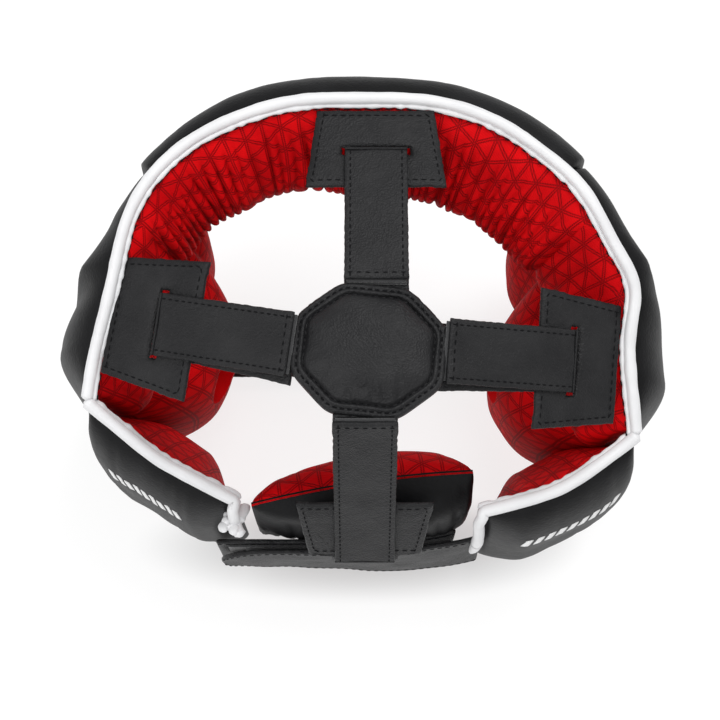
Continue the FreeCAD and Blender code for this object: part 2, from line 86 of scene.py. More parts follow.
class Socket:
    """A shader value that can be used in ordinary arithmetic."""

    def __init__(self, shader: "Shader", output: bpy.types.NodeSocket) -> None:
        """Wrap one output socket of a shader's tree."""
        self.shader = shader
        self.output = output

    def _math(self, operation: str, first: object, second: object) -> "Socket":
        """Add one Math node on two values."""
        return self.shader.node("ShaderNodeMath", {"operation": operation}, [first, second])

    def __add__(self, other: object) -> "Socket":
        """Sum."""
        return self._math("ADD", self, other)

    def __radd__(self, other: object) -> "Socket":
        """Sum with the value on the right."""
        return self._math("ADD", other, self)

    def __sub__(self, other: object) -> "Socket":
        """Difference."""
        return self._math("SUBTRACT", self, other)

    def __rsub__(self, other: object) -> "Socket":
        """Difference with the value on the right."""
        return self._math("SUBTRACT", other, self)

    def __mul__(self, other: object) -> "Socket":
        """Product."""
        return self._math("MULTIPLY", self, other)

    def __rmul__(self, other: object) -> "Socket":
        """Product with the value on the right."""
        return self._math("MULTIPLY", other, self)

    def __truediv__(self, other: object) -> "Socket":
        """Quotient."""
        return self._math("DIVIDE", self, other)

    def __abs__(self) -> "Socket":
        """Size without sign."""
        return self._math("ABSOLUTE", self, 0.0)

    def fract(self) -> "Socket":
        """Part after the point."""
        return self._math("FRACT", self, 0.0)

    def sine(self) -> "Socket":
        """Sine of an angle in radians."""
        return self._math("SINE", self, 0.0)

    def largest(self, other: object) -> "Socket":
        """The higher of two values."""
        return self._math("MAXIMUM", self, other)

    def fade(self, low: float, high: float) -> "Socket":
        """Smooth step from 0 at low to 1 at high.

        Args:
            low: value where the step starts.
            high: value where the step ends.

        Returns:
            The stepped value.
        """
        settings = {"interpolation_type": "SMOOTHSTEP"}
        return self.shader.node("ShaderNodeMapRange", settings, [self, low, high, 0.0, 1.0], "Result")


class Shader:
    """Node tree of one material, with a single Principled surface."""

    def __init__(self, name: str) -> None:
        """Start a material of that name."""
        self.material = bpy.data.materials.new(name)
        self.material.use_nodes = True
        self.tree = self.material.node_tree
        self.tree.nodes.clear()
        self.surface = self.tree.nodes.new("ShaderNodeBsdfPrincipled")
        out = self.tree.nodes.new("ShaderNodeOutputMaterial")
        self.tree.links.new(self.surface.outputs[0], out.inputs["Surface"])

    def give(self, slot: bpy.types.NodeSocket, given: object) -> None:
        """Give an input a value or a link.

        Args:
            slot: input of a node.
            given: value or Socket; None leaves the input as it is.
        """
        if isinstance(given, Socket):
            self.tree.links.new(given.output, slot)
        elif given is not None:
            slot.default_value = given

    def node(self, kind: str, settings: Dict[str, object], values: Sequence[object],
             result: object = 0) -> Socket:
        """Add a node.

        Args:
            kind: node type.
            settings: node properties, set first.
            values: values or Sockets for its inputs in order; None leaves one as it is.
            result: output to return, by name or number.

        Returns:
            The chosen output.
        """
        made = self.tree.nodes.new(kind)
        for key, setting in settings.items():
            setattr(made, key, setting)
        for slot, given in zip(made.inputs, values):
            self.give(slot, given)
        return Socket(self, made.outputs[result])

    def coordinates(self, kind: str) -> Socket:
        """Object or UV coordinates."""
        return self.node("ShaderNodeTexCoord", {}, [], kind)

    def parts(self, vector: Socket) -> Tuple[Socket, Socket]:
        """First two parts of a vector."""
        made = self.tree.nodes.new("ShaderNodeSeparateXYZ")
        self.tree.links.new(vector.output, made.inputs[0])
        return Socket(self, made.outputs[0]), Socket(self, made.outputs[1])

    def attribute(self, name: str) -> Socket:
        """Value of a mesh attribute."""
        return self.node("ShaderNodeAttribute", {"attribute_name": name}, (), "Fac")

    def noise(self, where: Socket, scale: float, detail: float = 2.0) -> Socket:
        """Smooth noise from 0 to 1."""
        return self.node("ShaderNodeTexNoise", {}, [where, None, scale, detail, 0.55], 0)

    def cells(self, where: Socket, scale: float, feature: str = "F1") -> Socket:
        """Distance inside Voronoi cells."""
        settings = {"feature": feature}
        return self.node("ShaderNodeTexVoronoi", settings, [where, None, scale], "Distance")

    def mix(self, share: object, first: object, second: object) -> Socket:
        """Blend two colours.

        Args:
            share: how much of the second colour, 0 to 1.
            first: colour or Socket.
            second: colour or Socket.

        Returns:
            The blended colour.
        """
        made = self.tree.nodes.new("ShaderNodeMix")
        made.data_type = "RGBA"
        for number, given in ((0, share), (6, first), (7, second)):
            self.give(made.inputs[number], given)
        return Socket(self, made.outputs[2])

    def bump(self, height: Socket, strength: float, distance: float) -> None:
        """Raise the surface's shading by a height.

        Args:
            height: height in units of distance.
            strength: share of the effect.
            distance: height of 1, in metres.
        """
        made = self.tree.nodes.new("ShaderNodeBump")
        made.inputs["Strength"].default_value = strength
        made.inputs["Distance"].default_value = distance
        self.tree.links.new(height.output, made.inputs["Height"])
        self.tree.links.new(made.outputs[0], self.surface.inputs["Normal"])

    def set(self, name: str, given: object) -> None:
        """Give the surface a value or a link."""
        self.give(self.surface.inputs[name], given)


def rgba(red: float, green: float, blue: float) -> Tuple[float, float, float, float]:
    """Opaque colour."""
    return red, green, blue, 1.0


@dataclass(frozen=True)
class Leather:
    """Coated leather: pebble grain, soft creases and slight wear in its gloss."""

    name: str
    colour: Tuple[float, float, float]
    worn: Tuple[float, float, float]
    roughness: float
    grain: float
    grain_depth: float
    crease_depth: float
    coat: float
    specular: float
    relief: float

    def make(self) -> bpy.types.Material:
        """Build the material.

        Returns:
            The finished material.
        """
        shader = Shader(self.name)
        where = shader.coordinates("Object")
        patches = shader.noise(where, 45.0, 4.0)
        pebble = shader.cells(where, self.grain)
        pores = shader.noise(where, self.grain * 2.2, 2.0)
        creases = shader.noise(where, 260.0, 5.0)
        shader.set("Base Color", shader.mix(patches.fade(0.35, 0.75), rgba(*self.colour), rgba(*self.worn)))
        shader.set("Roughness", self.roughness + 0.16 * (patches - 0.5) + 0.1 * (creases - 0.5))
        shader.set("Coat Weight", self.coat)
        shader.set("Coat Roughness", 0.25)
        shader.set("Specular IOR Level", self.specular)
        height = pebble * self.grain_depth + pores * (0.3 * self.grain_depth) + creases * self.crease_depth
        shader.bump(height, self.relief, 0.5 * MM)
        return shader.material


@dataclass(frozen=True)
class PrintedTwill:
    """Red twill with a dark printed net of double-lined triangles, and shade painted into its pleat valleys.
    """

    name: str = "lining_twill"
    colour: Tuple[float, float, float] = (0.74, 0.004, 0.006)
    deep: Tuple[float, float, float] = (0.5, 0.002, 0.004)
    ink: Tuple[float, float, float] = (0.09, 0.002, 0.003)
    # Colour the cloth is darkened towards down its pleat valleys: painted shade, not a dye.
    shade: Tuple[float, float, float] = (0.1, 0.001, 0.001)
    cell: float = 8.6 * MM
    sway: float = 3.0 * MM
    rib: float = 0.9 * MM
    line: float = 0.26 * MM
    gap: float = 0.5 * MM

    def make(self) -> bpy.types.Material:
        """Build the material.

        Returns:
            The finished material.
        """
        shader = Shader(self.name)
        where = shader.coordinates("UV")
        u, v = shader.parts(where)
        sway_u = shader.noise(where, 34.0, 1.0)
        sway_v = shader.noise(where, 41.0, 1.0)
        u = u + (sway_u - 0.5) * self.sway
        v = v + (sway_v - 0.5) * self.sway
        net: Optional[Socket] = None
        for turn in (0.0, 60.0, 120.0):
            ahead = math.cos(math.radians(turn)) / self.cell
            aside = math.sin(math.radians(turn)) / self.cell
            across = (u * ahead + v * aside).fract()
            from_line = (0.5 - abs(across - 0.5)) * self.cell
            pair = abs(from_line - self.gap)
            mask = 1.0 - pair.fade(self.line * 0.6, self.line * 1.8)
            net = mask if net is None else net.largest(mask)
        dashes = ((u + v) * (2.0 * math.pi / (1.0 * MM))).sine() * 0.5 + 0.5
        ribs = ((u * 0.35 + v) * (2.0 * math.pi / self.rib)).sine() * 0.5 + 0.5
        ink = net * (0.45 + 0.55 * dashes)
        soft = shader.noise(shader.coordinates("Object"), 55.0, 3.0)
        cloth = shader.mix(soft.fade(0.3, 0.8), rgba(*self.deep), rgba(*self.colour))
        ribbed = shader.mix(ribs * 0.28, cloth, rgba(*self.deep))
        # Painted shade: the fold attribute (share of the pleat depth) darkens the cloth towards the shade
        # colour in the pleat valleys.
        fold = shader.attribute("fold")
        inked = shader.mix(ink * 0.9, ribbed, rgba(*self.ink))
        shader.set("Base Color", shader.mix(fold * 0.75, inked, rgba(*self.shade)))
        shader.set("Roughness", 0.62 + 0.1 * (soft - 0.5))
        shader.set("Specular IOR Level", 0.04)
        shader.bump(ribs * 0.5 - net * 0.7, 0.5, 0.25 * MM)
        return shader.material


@dataclass(frozen=True)
class Thread:
    """Twisted sewing thread."""

    name: str = "thread_black"
    colour: Tuple[float, float, float] = (0.003, 0.003, 0.0035)

    def make(self) -> bpy.types.Material:
        """Build the material.

        Returns:
            The finished material.
        """
        shader = Shader(self.name)
        where = shader.coordinates("Object")
        ply = shader.noise(where, 2600.0, 2.0)
        shader.set("Base Color", shader.mix(ply, rgba(*self.colour), rgba(0.008, 0.008, 0.009)))
        shader.set("Roughness", 0.6 + 0.2 * ply)
        shader.set("Specular IOR Level", 0.08)
        shader.bump(ply, 0.5, 0.1 * MM)
        return shader.material


@dataclass(frozen=True)
class Fleece:
    """Hook-and-loop tape: dull nap with a fine knit."""

    name: str = "hook_and_loop_nap"
    colour: Tuple[float, float, float] = (0.012, 0.012, 0.013)

    def make(self) -> bpy.types.Material:
        """Build the material.

        Returns:
            The finished material.
        """
        shader = Shader(self.name)
        where = shader.coordinates("Object")
        nap = shader.noise(where, 1800.0, 3.0)
        knit = shader.cells(where, 900.0)
        shader.set("Base Color", shader.mix(nap, rgba(*self.colour), rgba(0.05, 0.05, 0.052)))
        shader.set("Roughness", 0.85 + 0.1 * nap)
        shader.set("Sheen Weight", 0.3)
        shader.bump(nap * 0.6 + knit * 0.6, 0.8, 0.4 * MM)
        return shader.material


@dataclass(frozen=True)
class Print:
    """Dull white ink for the plain stripe mark on the wings."""

    name: str = "wing_stripe_ink"

    def make(self) -> bpy.types.Material:
        """Build the material.

        Returns:
            The finished material.
        """
        shader = Shader(self.name)
        where = shader.coordinates("Object")
        chips = shader.noise(where, 900.0, 3.0)
        chipped = chips.fade(0.6, 0.75)
        shader.set("Base Color", shader.mix(chipped, rgba(0.8, 0.8, 0.8), rgba(0.35, 0.35, 0.35)))
        shader.set("Roughness", 0.4 + 0.2 * chips)
        shader.bump(chips, 0.2, 0.1 * MM)
        return shader.material


class Finishes:
    """Every finish of the headgear, each made once."""

    def __init__(self) -> None:
        """Build the materials."""
        self.cover = Leather(
            "cover_leather", (0.004, 0.004, 0.0045), (0.008, 0.008, 0.009), roughness=0.5, grain=900.0,
            grain_depth=0.25, crease_depth=0.5, coat=0.0, specular=0.16, relief=0.6).make()
        self.strap = Leather(
            "strap_leather", (0.01, 0.01, 0.011), (0.018, 0.018, 0.019), roughness=0.48, grain=1300.0,
            grain_depth=0.45, crease_depth=0.9, coat=0.0, specular=0.22, relief=1.0).make()
        self.piping = Leather(
            "piping_leather", (0.72, 0.72, 0.73), (0.66, 0.66, 0.67), roughness=0.42, grain=1300.0,
            grain_depth=0.15, crease_depth=0.25, coat=0.05, specular=0.4, relief=0.45).make()
        self.lining = PrintedTwill().make()
        self.thread = Thread().make()
        self.nap = Fleece().make()
        self.ink = Print().make()


# ---------------------------------------------------------------- mesh helpers


def ripple(x: Array, y: Array, seed: int) -> Array:
    """Smooth lattice noise from -1 to 1.

    Args:
        x: first coordinate, one unit per lump.
        y: second coordinate.
        seed: picks the pattern.

    Returns:
        Noise values with the shape of x and y.
    """
    size = 128
    table = np.random.default_rng(seed).uniform(-1.0, 1.0, (size, size))
    x, y = np.broadcast_arrays(x, y)
    column = np.floor(x).astype(int)
    line = np.floor(y).astype(int)
    across = x - column
    down = y - line
    across = across * across * (3.0 - 2.0 * across)
    down = down * down * (3.0 - 2.0 * down)
    corner = [table[(column + i) % size, (line + j) % size] for i in (0, 1) for j in (0, 1)]
    near = corner[0] * (1 - down) + corner[1] * down
    far = corner[2] * (1 - down) + corner[3] * down
    return near * (1 - across) + far * across


def rise(x: Array, low: float, high: float) -> Array:
    """Smooth step from 0 at low to 1 at high."""
    t = np.clip((np.asarray(x, float) - low) / (high - low), 0.0, 1.0)
    return t * t * (3.0 - 2.0 * t)


def even(level: float) -> Place:
    """Function that gives the same level everywhere."""
    return lambda u: level + 0.0 * u


def swell(t: Array, power: float = 2.4) -> Array:
    """Crown of a stuffed form: 0 at both ends of 0..1 and 1 in the middle."""
    return np.sqrt(np.clip(1.0 - np.abs(2.0 * np.asarray(t, float) - 1.0) ** power, 0.0, 1.0))


def new_object(name: str, vertices: Array, faces: List[Tuple[int, ...]], uvs: Optional[Array] = None,
               smooth: bool = True) -> bpy.types.Object:
    """Make a mesh object.

    Args:
        name: object name.
        vertices: points, one row each.
        faces: corner indices of each face.
        uvs: one UV pair per vertex.
        smooth: shade the faces smoothly.

    Returns:
        The linked object.
    """
    mesh = bpy.data.meshes.new(name)
    mesh.from_pydata([tuple(map(float, p)) for p in vertices], [], faces)
    if uvs is not None:
        layer = mesh.uv_layers.new(name="UVMap")
        index = np.empty(len(mesh.loops), int)
        mesh.loops.foreach_get("vertex_index", index)
        layer.data.foreach_set("uv", np.asarray(uvs, float)[index].ravel())
    if smooth:
        mesh.shade_smooth()
    made = bpy.data.objects.new(name, mesh)
    bpy.context.scene.collection.objects.link(made)
    return made


def outwards(piece: bpy.types.Object) -> bpy.types.Object:
    """Turn a closed mesh's faces outwards.

    Args:
        piece: object with a closed mesh.

    Returns:
        The same object.
    """
    work = bmesh.new()
    work.from_mesh(piece.data)
    bmesh.ops.recalc_face_normals(work, faces=work.faces)
    work.to_mesh(piece.data)
    work.free()
    return piece


def tube_faces(rings: int, around: int, closed: bool = False) -> List[Tuple[int, ...]]:
    """Faces between rings of points; open tubes get flat ends.

    Args:
        rings: number of rings.
        around: points in each ring.
        closed: join the last ring to the first, with no ends.

    Returns:
        Corner indices of each face.
    """
    faces = []
    for i in range(rings if closed else rings - 1):
        ahead = (i + 1) % rings
        for j in range(around):
            k = (j + 1) % around
            faces.append((i * around + j, i * around + k, ahead * around + k, ahead * around + j))
    if not closed:
        faces.append(tuple(range(around)))
        faces.append(tuple(range((rings - 1) * around, rings * around))[::-1])
    return faces


def dress(piece: bpy.types.Object, material: bpy.types.Material, slot: str, body: str,
          nodes: Sequence[str] = ()) -> None:
    """Give a piece its finish, its body and the nodes it stands for.

    Args:
        piece: object to dress.
        material: its finish, unless it has one.
        slot: material slot of the record; not used.
        body: body it moves with.
        nodes: nodes that it replaces.
    """
    if not piece.data.materials:
        piece.data.materials.append(material)
    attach(piece, body)
    if nodes:
        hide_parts(*nodes)
    LOG.info("%s: %d faces, rides on %s", piece.name, len(piece.data.polygons), body)


# ---------------------------------------------------------------- plan of the headgear


@dataclass(frozen=True)
class SeamLine:
    """Plan and height of the seam between covers and lining, from corner to corner."""

    front_radius: float = 229 * MM
    front_centre_y: float = 147 * MM
    front_half_angle: float = 6.0
    temple_radius: float = 93 * MM
    turns: Dict[Side, float] = field(default_factory=lambda: {Side.LEFT: 82.0, Side.RIGHT: 82.0})
    corner_y: Dict[Side, float] = field(default_factory=lambda: {Side.LEFT: 38 * MM, Side.RIGHT: 51 * MM})
    dip: float = 5 * MM
    dip_y: float = -12 * MM
    dip_width: float = 26 * MM
    bump: float = 5 * MM
    bump_y: float = -4 * MM
    bump_width: float = 14 * MM
    top: float = 165 * MM
    kink_y: float = -37 * MM
    slope: float = 0.4

    def _temple(self) -> Tuple[float, float]:
        """Centre of the left temple arc."""
        reach = self.front_radius - self.temple_radius
        half = math.radians(self.front_half_angle)
        return reach * math.sin(half), self.front_centre_y - reach * math.cos(half)

    def _lengths(self, side: Side) -> Tuple[float, float, float]:
        """Lengths of the half front, the temple arc and the straight side.

        Args:
            side: side of the wearer.

        Returns:
            The three lengths in order.
        """
        half = math.radians(self.front_half_angle)
        turn = math.radians(self.turns[side])
        front = self.front_radius * half
        temple = self.temple_radius * (turn - half)
        start_y = self._temple()[1] - self.temple_radius * math.cos(turn)
        return front, temple, (self.corner_y[side] - start_y) / math.sin(turn)

    def reach(self, side: Side) -> float:
        """Distance along the seam from the middle of the forehead to a corner."""
        return sum(self._lengths(side))

    def seam(self, angle: float) -> float:
        """Distance along the seam to a bearing on the temple arc."""
        return self.front_radius * math.radians(self.front_half_angle) + self.temple_radius * math.radians(
            angle - self.front_half_angle)

    def at_y(self, side: Side, y: float) -> float:
        """Distance along the seam to where the straight side crosses y."""
        return self.reach(side) - (self.corner_y[side] - y) / math.sin(math.radians(self.turns[side]))

    def plan(self, side: Side) -> Plan:
        """Plan of the seam, by distance from the middle of the forehead.

        Args:
            side: side of the wearer that positive distances run to.

        Returns:
            Function from distances to plan points and outward normals.
        """

        def walk(q: Array) -> Tuple[Array, Array]:
            """Points and normals at distances along the seam; negative ones run to the other side."""
            q = np.asarray(q, float)
            forwards = q >= 0
            turn = math.radians(self.turns[side])
            half = math.radians(self.front_half_angle)
            front, temple, _ = self._lengths(side)
            d = np.abs(q)
            tx, ty = self._temple()
            bearing = np.where(d < front, d / self.front_radius, half + (d - front) / self.temple_radius)
            bearing = np.minimum(bearing, turn)
            centre_x = np.where(d < front, 0.0, tx)
            centre_y = np.where(d < front, self.front_centre_y, ty)
            radius = np.where(d < front, self.front_radius, self.temple_radius)
            beyond = np.maximum(d - front - temple, 0.0)
            x = centre_x + radius * np.sin(bearing) + beyond * math.cos(turn)
            y = centre_y - radius * np.cos(bearing) + beyond * math.sin(turn)
            sign = np.where(forwards, side.sign, -side.sign)
            points = np.stack([sign * x, y], -1)
            normals = np.stack([sign * np.sin(bearing), -np.cos(bearing)], -1)
            return points, normals

        return walk

    def level(self, y: Array) -> Array:
        """Height of the panel tops at y, easing over the kink beside each temple.

        Args:
            y: places along Y.

        Returns:
            Heights.
        """
        past = np.asarray(y, float) - self.kink_y
        ease = 8 * MM
        fall = 0.5 * (past + np.sqrt(past * past + ease * ease))
        return self.top - self.slope * fall + 0.5 * self.slope * ease * 0.5

    def kink(self, points: Array) -> Array:
        """How far the top edge strays: pulled in on the left, out on the right.

        Args:
            points: plan points.

        Returns:
            Distances outwards, negative inwards.
        """
        x, y = points[..., 0], points[..., 1]
        pulled = -self.dip * np.exp(-((y - self.dip_y) / self.dip_width) ** 2) * rise(x, 0.0, 60 * MM)
        pushed = self.bump * np.exp(-((y - self.bump_y) / self.bump_width) ** 2) * rise(-x, 0.0, 60 * MM)
        return pulled + pushed

    def corner(self, side: Side) -> Array:
        """Plan point of a corner."""
        return self.plan(side)(np.array([self.reach(side)]))[0][0]


@dataclass(frozen=True)
class WingLine:
    """Straight plan line of a wing from its corner to its free end."""

    seam: SeamLine
    side: Side
    turn: float
    length: float
    bow: float
    slope: float = 0.75

    def plan(self, q: Array) -> Tuple[Array, Array]:
        """Plan line of the wing.

        Args:
            q: distances from the corner.

        Returns:
            Plan points and normals.
        """
        q = np.asarray(q, float)
        turn = math.radians(self.turn)
        start = self.seam.corner(self.side)
        ahead = np.array([self.side.sign * math.cos(turn), math.sin(turn)])
        normal = np.array([self.side.sign * math.sin(turn), -math.cos(turn)])
        bowed = self.bow * np.sin(math.pi * np.clip(q / self.length, 0.0, 1.0))
        points = start + q[..., None] * ahead + bowed[..., None] * normal
        return points, np.broadcast_to(normal, points.shape).copy()

    def level(self, y: Array) -> Array:
        """Height of the wing's top at y."""
        base = self.seam.level(np.array(self.seam.corner_y[self.side]))
        return base - self.slope * (np.asarray(y, float) - self.seam.corner_y[self.side])


@dataclass
class Cushion:
    """A stuffed panel that swells to one side of its seam line.

    The front face runs from the top seam down to the bottom seam, and a plain back wall closes it.
    """

    name: str
    plan: Plan
    start: float
    end: float
    top: Callable[[Array], Array]
    bottom: Callable[[Array], Array]
    depth: Callable[[Array, Array], Array]
    face: Face
    pucker: float = 0.5 * MM
    pucker_pitch: float = 7 * MM
    lumps: float = 0.6 * MM
    seed: int = 1
    step: float = 1.3 * MM
    rows: int = 56
    back: float = 0.8 * MM
    end_width: float = 11 * MM
    end_depth: float = 0.25
    crown: float = 2.6
    stray: Optional[Callable[[Array], Array]] = None
    seam_pull: float = 0.14
    pleat: float = 0.0
    pleat_pitch: float = 5.4 * MM
    pleat_from: float = 0.02

    def _pleats(self, q: Array, v: Array) -> Array:
        """Depth of the narrow folds that fan out of the top seam.

        Args:
            q: seam distances.
            v: shares of the way down.

        Returns:
            Depths of the folds.
        """
        phase = q / self.pleat_pitch + 0.9 * ripple(q / (17 * MM), v * 0.9, self.seed + 21)
        phase = phase + 0.35 * ripple(q / (9 * MM), v * 2.2, self.seed + 22)
        valley = (1.0 - np.abs(np.sin(math.pi * phase)) ** 0.8) ** 1.4
        strength = 0.62 + 0.55 * ripple(q / (11 * MM), v * 1.3, self.seed + 23)
        begun = rise(v, self.pleat_from, self.pleat_from + 0.26)
        return self.pleat * valley * np.clip(strength, 0.05, 1.2) * begun

    def _edges(self, points: Array) -> Tuple[Array, Array]:
        """Top and bottom heights at plan points."""
        return self.top(points[..., 1]), self.bottom(points[..., 1])

    def surface(self, q: Array, v: Array) -> Array:
        """Points of the stuffed face.

        Args:
            q: seam distances.
            v: shares of the way down.

        Returns:
            Points, with the shape of q and a last axis of 3.
        """
        points, normals = self.plan(q)
        margin = np.clip(np.minimum(q - self.start, self.end - q) / self.end_width, 0.0, 1.0)
        taper = self.end_depth + (1.0 - self.end_depth) * np.sqrt(1.0 - (1.0 - margin) ** 2.2)
        seams = np.exp(-v / self.seam_pull) + np.exp(-(1.0 - v) / self.seam_pull)
        sway = 0.6 * ripple(q / (18 * MM), v * 3.0, self.seed + 5)
        folds = 1.0 - 2.0 * np.abs(ripple(q / self.pucker_pitch + sway, v * 1.2, self.seed)) ** 0.7
        shape = swell(v, self.crown) * self.depth(q, v) * taper
        shape = shape - folds * self.pucker * (0.25 + seams) * taper * swell(v, 8.0)
        shape = shape + ripple(q / (16 * MM), v * 4.0, self.seed + 9) * self.lumps * swell(v, 3.0) * taper
        if self.pleat:
            shape = shape - self._pleats(q, v) * swell(v, 9.0)
        out = shape * self.face.value
        if self.stray is not None:
            out = out + self.stray(points) * (1.0 - rise(v, 0.0, 0.35))
        high, low = self._edges(points)
        return np.concatenate([points + out[..., None] * normals, (high + (low - high) * v)[..., None]], -1)

    def _wall(self, q: Array, v: Array) -> Array:
        """Points of the plain wall that closes the back.

        Args:
            q: seam distances.
            v: shares of the way down.

        Returns:
            Points, with the shape of q and a last axis of 3.
        """
        points, normals = self.plan(q)
        out = np.full(q.shape, -self.face.value * self.back)
        if self.stray is not None:
            out = out + self.stray(points) * (1.0 - rise(v, 0.0, 0.35))
        high, low = self._edges(points)
        return np.concatenate([points + out[..., None] * normals, (high + (low - high) * v)[..., None]], -1)

    def build(self) -> bpy.types.Object:
        """Make the closed, puckered mesh.

        Returns:
            The cushion, not yet dressed.
        """
        count = max(12, int((self.end - self.start) / self.step))
        q = np.linspace(self.start, self.end, count)
        v = 0.5 - 0.5 * np.cos(np.linspace(0.0, math.pi, self.rows))
        front = self.surface(*np.meshgrid(q, v, indexing="ij"))
        rear = self._wall(*np.meshgrid(q, np.linspace(1.0, 0.0, 8), indexing="ij"))
        rings = np.concatenate([front, rear], axis=1)
        run = np.concatenate([[0.0], np.cumsum(np.linalg.norm(np.diff(front, axis=1), axis=2).mean(0))])
        down = np.concatenate([run, run[-1] + np.linspace(0.0, run[-1], 8)])
        uv = np.stack(np.meshgrid(q, down, indexing="ij"), -1)
        faces = tube_faces(count, rings.shape[1])
        made = new_object(self.name, rings.reshape(-1, 3), faces, uv.reshape(-1, 2))
        # Painted shade for the lining: the pleat depth, as a share of the full pleat, goes into a fold
        # attribute that darkens the cloth's colour in the valleys.
        if self.pleat:
            pleat_shading = np.zeros(rings.shape[:2])
            pleat_shading[:, :len(v)] = self._pleats(*np.meshgrid(q, v, indexing="ij")) / self.pleat
            fold = made.data.attributes.new("fold", "FLOAT", "POINT")
            fold.data.foreach_set("value", np.clip(pleat_shading, 0.0, 1.0).ravel().astype(np.float32))
        return outwards(made)

    def patch(self, name: str, start: float, end: float, high: float, low: float,
              slant: float = 0.0) -> bpy.types.Object:
        """Thin print on the stuffed face.

        Args:
            name: object name.
            start: seam distance where it starts.
            end: seam distance where it ends.
            high: share of the way down of its upper edge.
            low: share of the way down of its lower edge.
            slant: shift along the seam between the two edges.

        Returns:
            The closed patch.
        """
        count_q = max(3, int((end - start) / (0.8 * MM)))
        q, v = np.meshgrid(np.linspace(start, end, count_q), np.linspace(high, low, 9), indexing="ij")
        q = q + slant * (v - high) / (low - high)
        base = self.surface(q, v)
        normal = np.cross(np.gradient(base, axis=0), np.gradient(base, axis=1))
        normal /= np.linalg.norm(normal, axis=2)[..., None]
        away = base[..., :2] - self.plan(q)[0]
        if float((normal[..., :2] * away).sum()) < 0.0:
            normal = -normal
        rings = np.concatenate([base + 0.3 * MM * normal, (base - 0.4 * MM * normal)[:, ::-1]], axis=1)
        made = new_object(name, rings.reshape(-1, 3), tube_faces(count_q, rings.shape[1]))
        return outwards(made)


def tube(name: str, path: Array, radii: Array, around: int = 20, flat: float = 1.0) -> bpy.types.Object:
    """Round tube along a path of points.

    Args:
        name: object name.
        path: centre points, one row each.
        radii: radius at each point.
        around: points in each ring.
        flat: height of the section over its width.

    Returns:
        The closed tube.
    """
    ahead = np.gradient(path, axis=0)
    ahead /= np.linalg.norm(ahead, axis=1)[:, None]
    up = np.array([0.0, 0.0, 1.0])
    side = np.cross(ahead, up)
    side /= np.linalg.norm(side, axis=1)[:, None]
    rise_dir = np.cross(side, ahead)
    angle = np.linspace(0.0, 2.0 * math.pi, around, endpoint=False)
    ring = side[:, None, :] * np.cos(angle)[None, :, None] + rise_dir[:, None, :] * (
        flat * np.sin(angle)[None, :, None])
    radii = np.asarray(radii)
    radii = radii[:, None] if radii.ndim == 1 else radii
    rings = path[:, None, :] + ring * radii[..., None]
    ends = [path[:1, None, :] - ahead[:1, None, :] * 1.2 * MM + 0.35 * (rings[:1] - path[:1, None, :]),
            path[-1:, None, :] + ahead[-1:, None, :] * 1.2 * MM + 0.35 * (rings[-1:] - path[-1:, None, :])]
    rings = np.concatenate([ends[0], rings, ends[1]])
    made = new_object(name, rings.reshape(-1, 3), tube_faces(len(rings), around))
    return outwards(made)


def join(name: str, pieces: List[bpy.types.Object]) -> bpy.types.Object:
    """Join objects into one.

    Args:
        name: name of the result.
        pieces: objects to join; the first one stays.

    Returns:
        The joined object.
    """
    with bpy.context.temp_override(active_object=pieces[0], selected_editable_objects=pieces):
        bpy.ops.object.join()
    pieces[0].name = name
    pieces[0].data.name = name
    return pieces[0]


